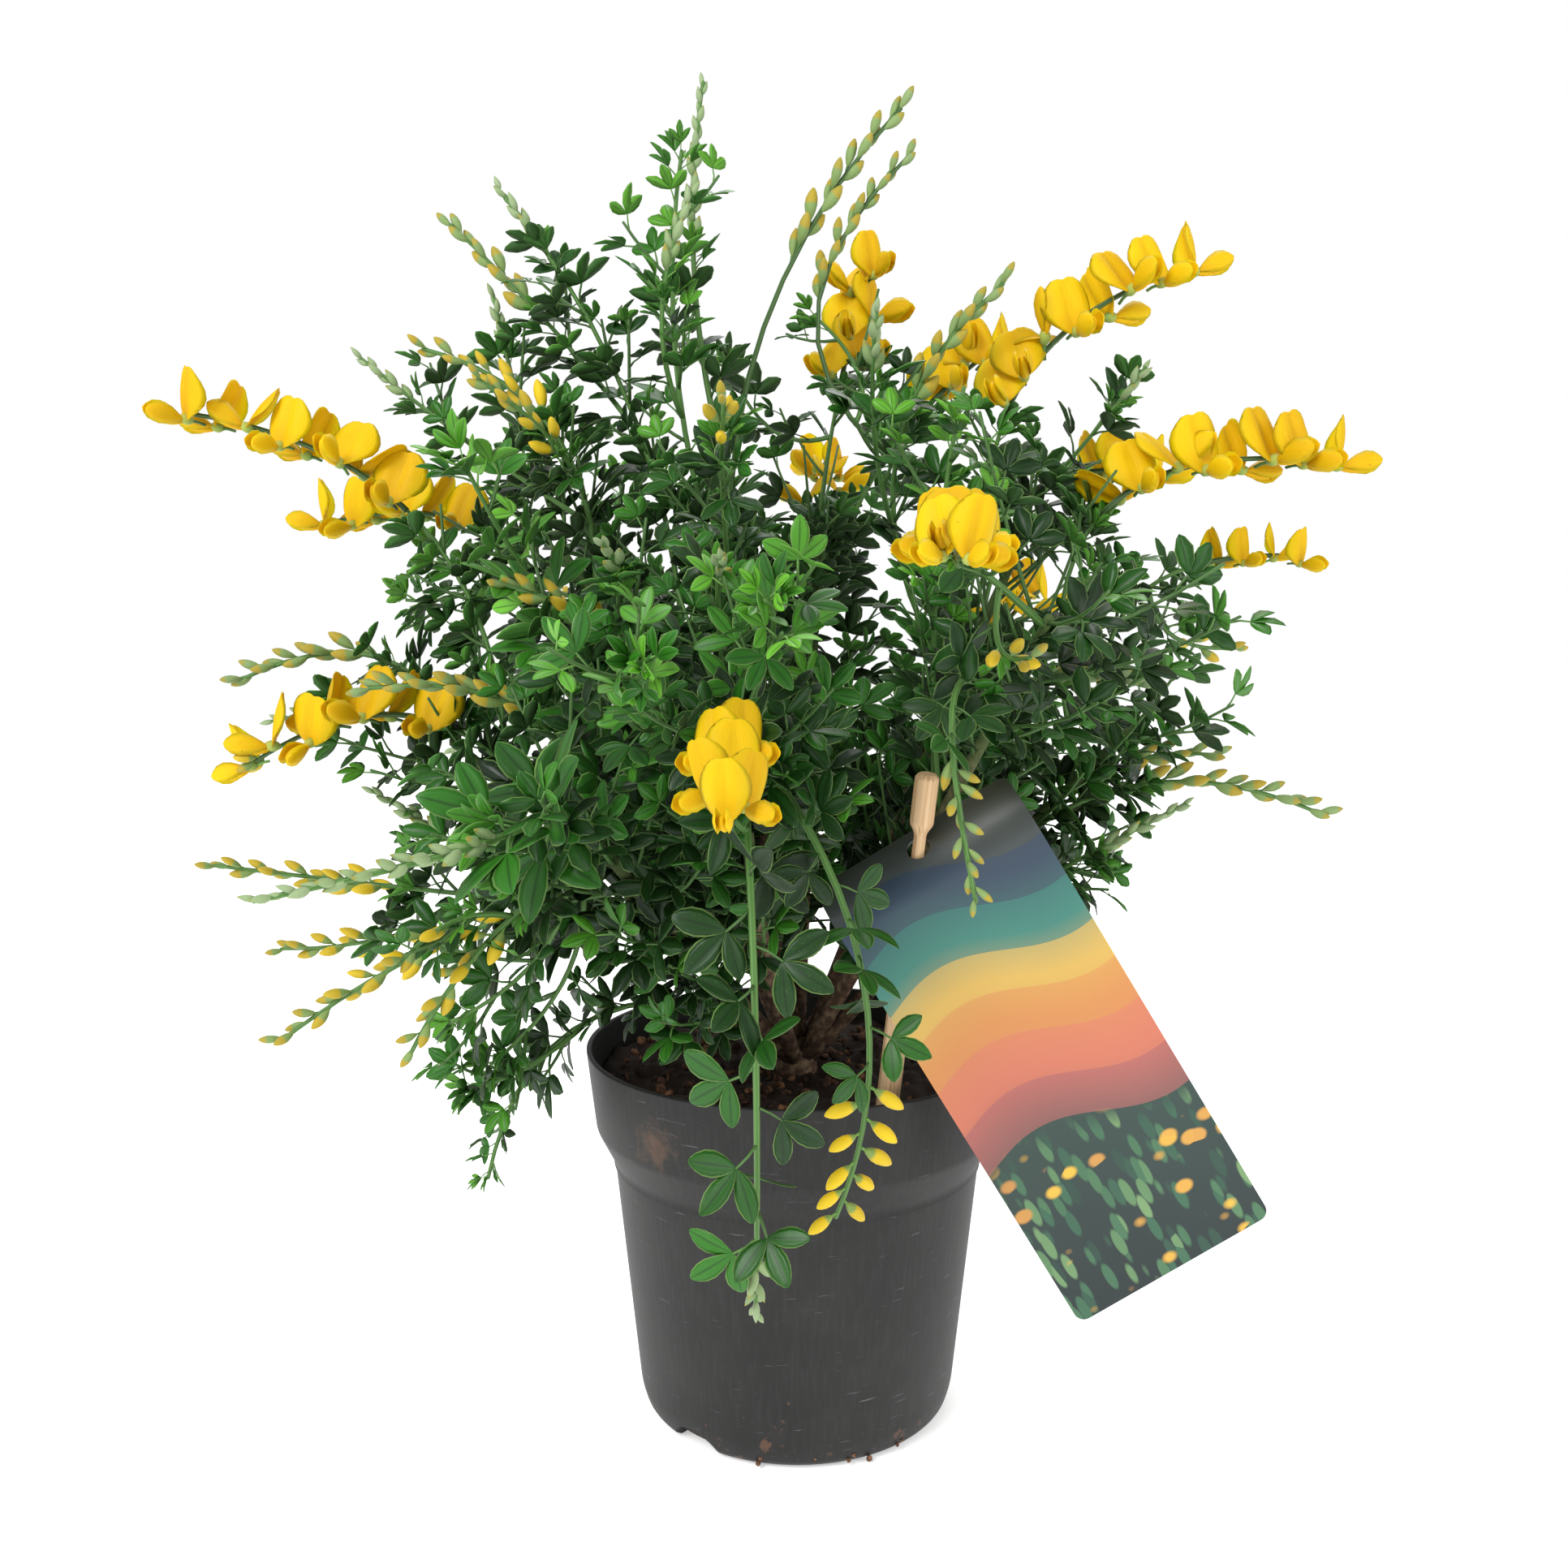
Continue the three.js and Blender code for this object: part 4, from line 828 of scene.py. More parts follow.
for sign, row in ((0.5, shares), (-0.5, shares[::-1])):
    off = sign * LABEL["thickness"]
    columns = np.ones(CARD_COLUMNS)
    up = (heights + off * normal_up - hole_height)[:, None] * columns
    front = (depths + off * normal_front - hole_depth)[:, None] * columns
    local = np.stack([half_widths[:, None] * row, up, front], axis=-1)
    rings.append(local @ LABEL_AXES + LABEL_HOLE)
rings = np.concatenate(rings, axis=1)
card = ringed("card_print", rings, rings[0].mean(axis=0), rings[-1].mean(axis=0))
label = make_piece("hanging_label", [card], ["label"])
print("card:", triangles["hanging_label"], "triangles")

# %% The punched hole
punch_axis = hole_up * LABEL_UP + hole_front * LABEL_FRONT
side, other = bar_frame(punch_axis)
turns = 2 * np.pi * np.arange(36) / 36
circle = LABEL["hole"] * (np.cos(turns)[:, None] * side + np.sin(turns)[:, None] * other)
punch_ends = LABEL_HOLE + np.array([[-4.0], [4.0]]) * punch_axis
punch = ringed("card_print", punch_ends[:, None, :] + circle, *punch_ends)
cut_away(label, make_piece("punch", [punch]))

# %% Print on the front of the card only
mesh = label.data
points = np.zeros(len(mesh.vertices) * 3, np.float32)
mesh.vertices.foreach_get("co", points)
local = (points.reshape(-1, 3) / MM - LABEL_HOLE) @ LABEL_AXES.T + [0, hole_height, hole_depth]
curled = LABEL_CURL["start"] - LABEL_CURL["radius"] * np.arctan2(
    local[:, 1] - CURL_FOOT, local[:, 2] + LABEL_CURL["radius"])
downs = np.where(local[:, 1] > CURL_FOOT, curled, LABEL["length"] / 2 - local[:, 1])
paint = np.ones((len(local), 4))
paint[:, 0] = local[:, 0] / LABEL["width"] + 0.5
paint[:, 1] = downs / LABEL["length"]
set_paint(mesh, paint)
mesh.materials.append(bpy.data.materials["card_back"])
normals = np.zeros(len(mesh.polygons) * 3, np.float32)
mesh.polygons.foreach_get("normal", normals)
facing = normals.reshape(-1, 3) @ LABEL_FRONT
mesh.polygons.foreach_set("material_index", np.where(facing > 0.15, 0, 1).astype(np.int32))
mesh.set_sharp_from_angle(angle=math.radians(40))
print("label:", len(mesh.polygons), "faces")

# %% [markdown]
# ## Room for the shrub
# Leaves and twigs may go anywhere inside the solid model's box except into the pot, the soil, the
# stake or the card. One test says which points are in the way, and what it names isn't grown.

# %% What is in the way
BOX_SLACK = 0.8
BOX_LOW = np.array(solid_box[0]) / MM - BOX_SLACK
BOX_HIGH = np.array(solid_box[1]) / MM + BOX_SLACK
OFF_POT = 1.5
OFF_STAKE = 1.3
OFF_CARD = 2.4
CARD_REACH = {"across": 32, "foot": -140, "curl_up": (-13, 10), "curl_front": (-9, 7.2)}
POT_HEIGHTS = [0, POT["shoulder"], POT["band_foot"], POT["height"]]
POT_RADII = [POT_FOOT["radius"], POT["body"], POT["band"], POT["rim"]]


def in_the_way(points):
    """True for points outside the box, in the soil, or too near to the pot, the stake or the card.
    The card's curl has a box of its own."""
    x, y, z = np.moveaxis(points, -1, 0)
    outside_box = ((points < BOX_LOW) | (points > BOX_HIGH)).any(axis=-1)
    radius = np.hypot(x, y)
    over_soil = (radius < POT["rim"] - 4) & (z > SOIL_LEVEL + 4)
    in_pot = (z < POT["height"] + OFF_POT) & (radius < np.interp(z, POT_HEIGHTS, POT_RADII) + OFF_POT)
    from_foot = points - STAKE_FOOT
    along = from_foot @ stake_axis
    off = np.linalg.norm(from_foot - along[..., None] * stake_axis, axis=-1)
    at_stake = (off < STAKE["radius"] + OFF_STAKE) & (along < hole_along + STAKE["above"] + 2)
    across, up, front = np.moveaxis((points - LABEL_HOLE) @ LABEL_AXES.T, -1, 0)
    flat = (up < 1 - LABEL["hole_down"]) & (np.abs(front + hole_depth) < OFF_CARD)
    (lowest, highest), (backmost, foremost) = CARD_REACH["curl_up"], CARD_REACH["curl_front"]
    curl = (up > lowest) & (up < highest) & (front > backmost) & (front < foremost)
    at_card = (np.abs(across) < CARD_REACH["across"]) & (up > CARD_REACH["foot"]) & (flat | curl)
    return outside_box | (in_pot & ~over_soil) | at_stake | at_card


print("room:", [round(side) for side in BOX_HIGH - BOX_LOW], "mm")

# %% [markdown]
# ## Wood and stems
# The trunk and limbs are grey-brown bark that turns green where they are young. A broom's green
# stems have fine pale ribs along them. Both are bars carried along a curve, square to it, with the
# curve's own plane as the guide so that they don't twist.

# %% Bark
# Young bark is matt and finely cracked, in plates of about 2.4 mm, and greens towards the tips.
tree, shader = new_finish("young_bark", Roughness=0.85)
along, across, tint, face = read_paint(tree)
cracks = add_node(tree, "TexNoise", {"Vector": place_on(tree), "Scale": repeats(2.38),
                                     "Detail": 5})
brown = add_node(tree, "ValToRGB", {"Fac": cracks.outputs["Fac"]},
                 stops=[(0.3, "#3A2A1E"), (0.5, "#6A5140"), (0.7, "#9A8468")])
greening = add_node(tree, "MapRange", {"Value": along, "From Min": 0.35, "From Max": 0.8})
bark = add_node(tree, "Mix", {0: greening.outputs[0], MIX_A: brown.outputs["Color"],
                              MIX_B: linear("#49602F")}, data_type="RGBA")
tree.links.new(bark.outputs[MIX_RESULT], shader.inputs["Base Color"])
relief = add_node(tree, "Bump", {"Height": cracks.outputs["Fac"], "Strength": 0.5, "Distance": 0.0005})
tree.links.new(relief.outputs["Normal"], shader.inputs["Normal"])
print("bark:", len(tree.nodes), "nodes")

# %% Green stem
# A soft stem is a downy satin. Pale ribs alternate with green grooves round it.
tree, shader = new_finish("green_stem", Roughness=0.6)
along, across, tint, face = read_paint(tree)
round_turn = add_node(tree, "Math", {0: across, 1: 2 * math.pi * STEM_RIBS}, operation="MULTIPLY")
ribs = add_node(tree, "Math", {0: round_turn.outputs[0]}, operation="COSINE")
rib_mask = add_node(tree, "MapRange", {"Value": ribs.outputs[0], "From Min": -0.2, "From Max": 0.9,
                                       "To Max": 0.35})
groove = add_node(tree, "ValToRGB", {"Fac": tint},
                  stops=[(0.0, "#1C3814"), (0.5, "#3E6A29"), (1.0, "#6CA044")])
stem_colour = add_node(tree, "Mix", {0: rib_mask.outputs[0], MIX_A: groove.outputs["Color"],
                                     MIX_B: linear("#7C9C5C")}, data_type="RGBA")
tree.links.new(stem_colour.outputs[MIX_RESULT], shader.inputs["Base Color"])
print("green stem:", len(tree.nodes), "nodes")


# %% Bars along curves
def bar(finish, line, start, end, radii, sides, steps, tint=0.5, ribs=0.0):
    """Rings stand square to the curve at even shares of its length. The radius goes evenly from the
    first to the second value, and five low ribs raise it by the cosine of five times the turn. The
    far end has a small point."""
    places, forward = at_share(line, np.linspace(start, end, steps + 1))
    normal = np.cross(line[1] - line[0], line[2] - line[1])
    if np.linalg.norm(normal) < 1e-3:
        normal = np.cross(forward[0], [0.0, 1.0, 0.1])
    normal = unit(normal)
    side = unit(np.cross(normal, forward))
    turns = 2 * np.pi * np.arange(sides) / sides
    radius = np.linspace(*radii, steps + 1)[:, None] * (1 + ribs * np.cos(STEM_RIBS * turns))
    rings = places[:, None] + radius[..., None] * (
        np.cos(turns)[:, None] * side[:, None] + np.sin(turns)[:, None] * normal)
    return ringed(finish, rings, places[0], places[-1] + forward[-1] * radii[1] * 0.8, tint)


# %% Trunk and limbs
trunk_profile = rounded([(0, TRUNK["foot"]), (TRUNK["radius"] - 1, TRUNK["foot"]),
                         (TRUNK["radius"], SOIL_LEVEL - 4), (TRUNK["radius"] - 1.2, TRUNK["top"] - 3),
                         (TRUNK["radius"] - 3, TRUNK["top"]), (0, TRUNK["top"] + 1)], [1, 3, 2, 1.5])
trunk = turned("young_bark", trunk_profile, 24, 0.3)
trunk.paint[:, 0] = 0
round_trunk = np.arctan2(trunk.points[:, 1], trunk.points[:, 0])
knobs = 1 + 0.06 * np.sin(trunk.points[:, 2] / 3) * np.cos(3 * round_trunk)
trunk.points[:, :2] *= knobs[:, None]
limb_bars = [bar("young_bark", line, 0, 1, (LIMB["root"], LIMB["tip"]), 9, 18)
             for line in limb_lines.values()]
make_piece("trunk_and_limbs", [trunk, *limb_bars], ["wood"])
print("wood:", triangles["trunk_and_limbs"], "triangles")

# %% [markdown]
# ## Leaves
# A broom leaf has three leaflets on a short stalk. Each leaflet is widest past its middle, folded
# up along its rib and arched down to its tip. One blade formula makes them all: old leaves are
# flat and wide open, young ones folded and held up. Leaves near the eye get finer blades.

# %% Leaf
# A leaf's upper face is a waxy satin, dark when old and yellow-green when young, with painted shade
# in its sunken rib, a fine pale margin and pale specks of about 0.8 mm. Its underside is greyer and
# duller.
tree, shader = new_finish("leaf_blade", Specular_IOR_Level=0.35)
along, across, tint, face = read_paint(tree)
green = add_node(tree, "ValToRGB", {"Fac": tint},
                 stops=[(0.0, "#091B05"), (0.3, "#143A0D"), (0.6, "#2C6E18"), (1.0, "#66AE2C")])
speck_noise = add_node(tree, "TexNoise", {"Vector": place_on(tree), "Scale": repeats(0.77),
                                          "Detail": 2})
specks = add_node(tree, "MapRange", {"Value": speck_noise.outputs["Fac"], "From Min": 0.62,
                                     "From Max": 0.72, "To Max": 0.22})
specked = add_node(tree, "Mix", {0: specks.outputs[0], MIX_A: green.outputs["Color"],
                                 MIX_B: linear("#587C3C")}, data_type="RGBA")
# Painted shade: the leaflet is darkened along the fold of its rib.
rib = add_node(tree, "MapRange", {"Value": across, "From Min": 0.02, "From Max": 0.16,
                                  "To Min": 0.6, "To Max": 0.0})
rib_crease_shaded = add_node(tree, "Mix", {0: rib.outputs[0], MIX_A: specked.outputs[MIX_RESULT],
                                MIX_B: linear("#0A1E0A")}, data_type="RGBA")
margin = add_node(tree, "MapRange", {"Value": across, "From Min": 0.84, "From Max": 1.0,
                                     "To Max": 0.7})
edged = add_node(tree, "Mix", {0: margin.outputs[0], MIX_A: rib_crease_shaded.outputs[MIX_RESULT],
                               MIX_B: linear("#9CC46E")}, data_type="RGBA")
under = add_node(tree, "MapRange", {"Value": face, "From Min": 0.45, "From Max": 0.1, "To Max": 0.4})
both_faces = add_node(tree, "Mix", {0: under.outputs[0], MIX_A: edged.outputs[MIX_RESULT],
                                    MIX_B: linear("#3E5C2C")}, data_type="RGBA")
tree.links.new(both_faces.outputs[MIX_RESULT], shader.inputs["Base Color"])
duller = add_node(tree, "MapRange", {"Value": face, "From Min": 0.2, "From Max": 0.8,
                                     "To Min": 0.7, "To Max": 0.4})
tree.links.new(duller.outputs[0], shader.inputs["Roughness"])
print("leaf:", len(tree.nodes), "nodes")


# %% Leaf templates
def leaflet(reach, width, fold, arch, lift, rows, columns):
    """Half the width goes as the 0.7 power of the sine of half a turn times u^1.2. The halves rise
    from the rib by the fold, and the rib rises by the lift and drops as the square of u."""
    def sheet(u, v):
        """The leaflet's middle surface."""
        half = width / 2 * np.clip(np.sin(np.pi * u ** 1.2), 0, None) ** 0.7
        y = v * half
        return np.stack([reach * u, y, fold * np.abs(y) + reach * (lift * u - arch * u ** 2)], axis=-1)
    return blade("leaf_blade", rows, columns, sheet, 0.3, (0, 0, 1))


def broom_leaf(seed, rows, columns, fan_out, fold, lift, wide=1.0):
    """A stalk and three leaflets at its end, turned out to both sides by about the fan angle."""
    vary = np.random.default_rng(seed)
    stalk_line = np.array([[0, 0, 0], [STALK / 2, vary.uniform(-0.8, 0.8), 0.9], [STALK, 0, 0.2]])
    shapes = [bar("green_stem", stalk_line, 0, 1, (0.46, 0.34), 4, 2)]
    for turn, share in ((-fan_out, 0.92), (0, 1.0), (fan_out, 0.92)):
        reach = LEAFLET["length"] * share * vary.uniform(0.9, 1.08)
        width = LEAFLET["width"] * wide * vary.uniform(0.88, 1.1)
        one = leaflet(reach, width, fold * vary.uniform(0.6, 1.4), vary.uniform(0.04, 0.2),
                      lift + vary.uniform(-0.14, 0.14), rows, columns)
        shapes.append(placed(one, turn + vary.uniform(-8, 8), (STALK - 0.2, 0, 0.2)))
    return shapes


plain_leaves = [broom_leaf(k, 5, 2, LEAFLET["fan"], 0.28, 0.06) for k in range(5)]
young_leaves = [broom_leaf(20 + k, 5, 2, 36, 0.6, 0.3, 0.8) for k in range(3)]
near_leaves = [broom_leaf(40 + k, 8, 4, LEAFLET["fan"], 0.26, 0.05) for k in range(4)]
near_young_leaves = [broom_leaf(60 + k, 8, 4, 38, 0.55, 0.28, 0.85) for k in range(3)]
print("points in a leaf:", sum(len(shape.points) for shape in plain_leaves[0]))


# %% How a leaf stands
SHRUB_MIDDLE = np.array([-6.0, 0.0, 220.0])


def leaf_frames(places, forward, turns, leans):
    """Columns ahead, across and up. A leaf leaves its stem on a side turned so far round it, leans
    out by some degrees, and turns to the light, which comes from above and from outside the shrub."""
    steep = np.abs(forward[:, 2:]) > 0.95
    side = unit(np.cross(forward, np.where(steep, [0.0, 1.0, 0.0], [0.0, 0.0, 1.0])))
    turns, leans = np.radians(turns)[:, None], np.radians(leans)[:, None]
    out = np.cos(turns) * side + np.sin(turns) * np.cross(forward, side)
    light = unit(unit((places - SHRUB_MIDDLE) * [1, 1, 0.5]) + [0, 0, 0.8])
    ahead = unit(np.cos(leans) * forward + np.sin(leans) * out + 0.22 * light)
    across = unit(np.cross(light + 0.35 * forward, ahead))
    return np.stack([ahead, across, np.cross(ahead, across)], axis=-1)


def leaves_along(line, start, end, spacing, first_turn, size, age, young=0.0):
    """Places, frames, sizes and tints of leaves on a stem. Towards the tip they get smaller, steeper
    and brighter, as the square of the way gone, as far as the stem is young."""
    count = max(1, round((end - start) * run_of(line)[-1] / spacing))
    way = (np.arange(count) + 0.5) / count
    places, forward = at_share(line, start + (end - start) * way)
    turns = first_turn + TURN * np.arange(count) + draw.uniform(-18, 18, count)
    leans = 60 - 28 * young * way ** 2 + draw.uniform(-9, 9, count)
    sizes = size * (1.05 - 0.45 * young * way ** 2) * draw.uniform(0.84, 1.12, count)
    tints = age + 0.7 * young * way ** 2 + draw.uniform(-0.1, 0.18, count)
    return places, leaf_frames(places, forward, turns, leans), sizes, np.clip(tints, 0, 1)


# %% [markdown]
# ## Flowers
# A pea flower has a big upright banner, two wings and a keel between them, in a silky green calyx
# on a thin stalk. Each petal is a curved blade. The banner is round and notched, with a crease down
# its middle and its margins bent back. Three stages of opening are made and stamped along racemes.

# %% Petal
# A fresh petal is a soft satin that glows a little, since light passes into it. Its veins are about
# 0.5 mm wide, and a few brown flecks are about 4 mm apart.
VEIN_WIDTH = 0.484
tree, shader = new_finish("petal_skin", Roughness=0.6, Specular_IOR_Level=0.2, Subsurface_Weight=0.4,
                          Subsurface_Scale=0.002)
shader.inputs["Subsurface Radius"].default_value = (1.0, 0.75, 0.1)
along, across, tint, face = read_paint(tree)
gold = add_node(tree, "ValToRGB", {"Fac": tint},
                stops=[(0.0, "#C99D00"), (0.5, "#D8AC00"), (1.0, "#E5BB02")])
throat = add_node(tree, "MapRange", {"Value": along, "From Min": 0.0, "From Max": 0.4,
                                     "To Min": 0.5, "To Max": 0.0})
deeper = add_node(tree, "Mix", {0: throat.outputs[0], MIX_A: gold.outputs["Color"],
                                MIX_B: linear("#C99200")}, data_type="RGBA")
fleck_noise = add_node(tree, "TexNoise", {"Vector": place_on(tree), "Scale": repeats(3.85),
                                          "Detail": 3})
flecks = add_node(tree, "MapRange", {"Value": fleck_noise.outputs["Fac"], "From Min": 0.735,
                                     "From Max": 0.77, "To Max": 0.7})
flecked = add_node(tree, "Mix", {0: flecks.outputs[0], MIX_A: deeper.outputs[MIX_RESULT],
                                 MIX_B: linear("#9A6512")}, data_type="RGBA")
tree.links.new(flecked.outputs[MIX_RESULT], shader.inputs["Base Color"])
vein_place = add_node(tree, "CombineXYZ", {"X": along, "Y": across})
vein_lines = BANNER["width"] / 2 / VEIN_WIDTH
vein_map = add_node(tree, "Mapping", {"Vector": vein_place.outputs[0], "Scale": (2, vein_lines, 1)})
veins = add_node(tree, "TexNoise", {"Vector": vein_map.outputs[0], "Scale": 1, "Detail": 2})
relief = add_node(tree, "Bump", {"Height": veins.outputs["Fac"], "Strength": 0.35, "Distance": 0.0004})
tree.links.new(relief.outputs["Normal"], shader.inputs["Normal"])
print("veins in half a petal:", round(vein_lines))

# %% Calyx
# A calyx is covered in short silky hairs, which pale it.
tree, shader = new_finish("calyx", Roughness=0.75, Sheen_Weight=0.2, Sheen_Roughness=0.4)
along, across, tint, face = read_paint(tree)
silk = add_node(tree, "ValToRGB", {"Fac": along},
                stops=[(0.0, "#6F8F40"), (0.6, "#9DAC4A"), (1.0, "#B9AE46")])
tree.links.new(silk.outputs["Color"], shader.inputs["Base Color"])

# %% Bud
# A bud is a silky calyx with the folded banner showing at its tip: more of it, and yellower, with
# age. The place where the green ends moves down the bud as its tint goes up.
tree, shader = new_finish("bud", Roughness=0.65, Sheen_Weight=0.12, Sheen_Roughness=0.4)
along, across, tint, face = read_paint(tree)
calyx_end = add_node(tree, "MapRange", {"Value": tint, "To Min": 1.02, "To Max": 0.22})
past_calyx = add_node(tree, "Math", {0: along, 1: calyx_end.outputs[0]}, operation="SUBTRACT")
opened = add_node(tree, "MapRange", {"Value": past_calyx.outputs[0], "From Min": -0.05,
                                     "From Max": 0.05})
silver = add_node(tree, "ValToRGB", {"Fac": tint},
                  stops=[(0.0, "#93A77E"), (0.4, "#7A9556"), (1.0, "#7F9A4A")])
tip_colour = add_node(tree, "ValToRGB", {"Fac": tint},
                      stops=[(0.2, "#8C8C3C"), (0.6, "#A8921E"), (1.0, "#E0BE04")])
bud_colour = add_node(tree, "Mix", {0: opened.outputs[0], MIX_A: silver.outputs["Color"],
                                    MIX_B: tip_colour.outputs["Color"]}, data_type="RGBA")
tree.links.new(bud_colour.outputs[MIX_RESULT], shader.inputs["Base Color"])
print("materials:", len(bpy.data.materials))


# %% Petals
def banner(height, width, lean_back, reflex):
    """Half the width goes as the 0.55 power of the sine of half a turn times u^1.1. A shallow notch
    lowers the top's middle, a crease sets back the centre line, and the margins bend back as the
    square of the way out, with a slight ripple."""
    def sheet(u, v):
        """The banner's middle surface."""
        y = v * width / 2 * np.clip(np.sin(np.pi * u ** 1.1), 0, None) ** 0.55
        out = y / (width / 2)
        z = height * u - 1.3 * u ** 6 * np.exp(-(y / 1.8) ** 2)
        crease = 0.7 * np.exp(-(y / 1.1) ** 2) * np.sin(np.pi * u) ** 0.5
        ripple = 0.22 * np.sin(7 * u + 2 * v) * np.abs(v) ** 3
        belly = 1.1 * np.sin(np.pi * u) * np.sin(np.pi * np.abs(out)) ** 2
        x = belly - reflex * out ** 2 - crease + ripple - lean_back * z
        return np.stack([x + BANNER["stalk"], y, z - 0.8], axis=-1)
    return blade("petal_skin", 12, 10, sheet, 0.5, (1, 0, 0))


def wing(side, spread, reach):
    """An obovate petal beside the keel: half its height goes as the 0.6 power of the sine of half a
    turn times u^1.5, and it bulges outwards in its middle."""
    def sheet(u, v):
        """The wing's middle surface."""
        half = 3.2 * np.clip(np.sin(np.pi * u ** 1.5), 0, None) ** 0.6
        bulge = np.sin(np.pi * 0.85 * u) * (0.55 + 0.45 * (1 - v ** 2))
        y = side * (0.5 + spread * bulge)
        return np.stack([BANNER["stalk"] + 0.6 + reach * u, y, v * half - 0.4 + 0.8 * u - 0.6 * u ** 3],
                        axis=-1)
    return blade("petal_skin", 7, 4, sheet, 0.5, (0, 1, 0))


def spindle(finish, start, end, half_height, half_width, swell, blunt, bend, sides, steps):
    """A closed body along X. Its section is an ellipse whose size goes as a power of the sine of half
    a turn times the way gone to the power swell, and its middle bends up as the square of the way."""
    way = (1 - np.cos(np.linspace(0, np.pi, steps + 2))) / 2
    inner = way[1:-1]
    size = np.sin(np.pi * inner ** swell) ** blunt
    turns = 2 * np.pi * np.arange(sides) / sides
    x = np.repeat((start + (end - start) * inner)[:, None], sides, axis=1)
    y = half_width * size[:, None] * np.cos(turns)
    z = half_height * size[:, None] * np.sin(turns) + (bend * inner ** 2)[:, None]
    shape = ringed(finish, np.stack([x, y, z], axis=-1), (start, 0, 0), (end, 0, bend))
    shape.paint[:-2, 0] = np.repeat(inner, sides)
    return shape


def pea_flower(lean_back, reflex, spread, width):
    """Stalk, calyx, keel, two wings and the banner, each starting inside the one before."""
    stalk_line = np.array([[0, 0, 0], [2, 0, 0.4], [4.4, 0, 0]])
    stalk = bar("green_stem", stalk_line, 0, 1, (0.45, 0.5), 5, 2, 0.7)
    calyx = spindle("calyx", 3.6, 8.4, 1.6, 1.5, 0.95, 0.6, 0, 9, 6)
    keel = spindle("petal_skin", 6.0, 17.0, 2.3, 1.5, 1.25, 0.55, 0.7, 8, 7)
    keel = keel._replace(points=keel.points - [0, 0, 0.9])
    return [stalk, calyx, keel, wing(1, spread, 12), wing(-1, spread, 12),
            banner(BANNER["height"], width, lean_back, reflex)]


flower_stages = [
    pea_flower(0.12, 1.8, 1.9, BANNER["width"]),
    pea_flower(0.02, 2.6, 2.4, BANNER["width"] * 0.96),
    pea_flower(-0.25, 3.4, 1.7, BANNER["width"] * 0.82),
]


# %% How flowers stand on their racemes
FLOWER_LEVEL = 0.45  # how much a flower that points up keeps of its rise
FLOWER_SIDES = (-62, 48, -20, 80, -90, 22, 62, -44, 104, -108)  # degrees from upright, in turn
FLOWER_SPACING = 8.3
CROWDED_SPACING = 6.6
FLOWER_SIZE = 1.06
FLOWER_DROP = 2.5  # how far the flowers of a raceme seen from the side are lowered
RACEME_END = 0.925  # the share of a shoot's length where its flowers end


def flower_frames(forward, from_upright, onwards, outwards):
    """Columns ahead, across and up. A flower leaves its raceme some degrees to one side of upright,
    turns level or hangs, looks out to the front, and holds its banner up and a little out. onwards
    and outwards say how much it points along the raceme and away from it."""
    steep = np.abs(forward[:, 2:]) > 0.85
    up = np.where(steep, [0.0, -1.0, 0.0], [0.0, 0.0, 1.0])
    side = unit(np.cross(forward, up))
    turns = np.radians(from_upright - 90)[:, None]
    out = np.cos(turns) * side + np.sin(turns) * np.cross(forward, side)
    ahead = onwards[:, None] * forward + outwards * out + [0, -0.4, 0]
    ahead[:, 2] *= np.where(ahead[:, 2] < 0, 1.15, FLOWER_LEVEL)
    ahead = unit(ahead)
    across = unit(np.cross([0.0, 0.0, 1.0] + 0.5 * out, ahead))
    return np.stack([ahead, across, np.cross(ahead, across)], axis=-1)


# %% Where the flowers stand
RACEMES_AT_EYE = {"bloom_front_low", "bloom_front_high"}
CROWDED = {"bloom_front_low", "bloom_front_high", "bloom_back_top", "bloom_back_right"}
RACEME_SIZES = {"bloom_front_low": 0.86, "bloom_front_high": 0.88, "bloom_right_low": 0.78,
                "bloom_back_top": 1.12}
RACEME_ENDS = {"bloom_left_low": 0.87, "bloom_front_low": 0.96, "bloom_front_high": 0.96}
racemes = {}
for shoot in shoots.values():
    if shoot.load != "flowers":
        continue
    at_eye = shoot.name in RACEMES_AT_EYE
    run = RACEME_ENDS.get(shoot.name, RACEME_END) - shoot.load_start
    count = round(run * shoot.length / (CROWDED_SPACING if shoot.name in CROWDED else FLOWER_SPACING))
    way = (np.arange(count) + 0.5) / count
    places, forward = at_share(shoot.line, shoot.load_start + run * way)
    sides = np.resize(FLOWER_SIDES, count) + draw.uniform(-10, 10, count)
    onwards, outwards = (0.5, 1.0) if at_eye else (0.6, 0.75)
    frames = flower_frames(forward, sides, onwards + 0.8 * way ** 4, outwards)
    places = places - [0, 0, 0 if at_eye else FLOWER_DROP]
    size = RACEME_SIZES.get(shoot.name, FLOWER_SIZE)
    racemes[shoot.name] = (places, frames, size * draw.uniform(0.94, 1.06, count) - 0.08 * way ** 2)
flower_centres = np.concatenate([
    places + 10 * frames[:, :, 0] + 5 * frames[:, :, 2] for places, frames, sizes in racemes.values()])
print("open flowers:", len(flower_centres))


# %% [markdown]
# ## Leaves give way
# A flower pushes the leaves beside it apart and is never hidden by one. Leaves could be moved by
# hand, but there are thousands, so each is tested before it is stamped, and left out if it is in
# the way.

# %% Leaves where there is room
SIGHT_ROOM = 8  # how far leaves in front of a flower keep from the way that it is seen


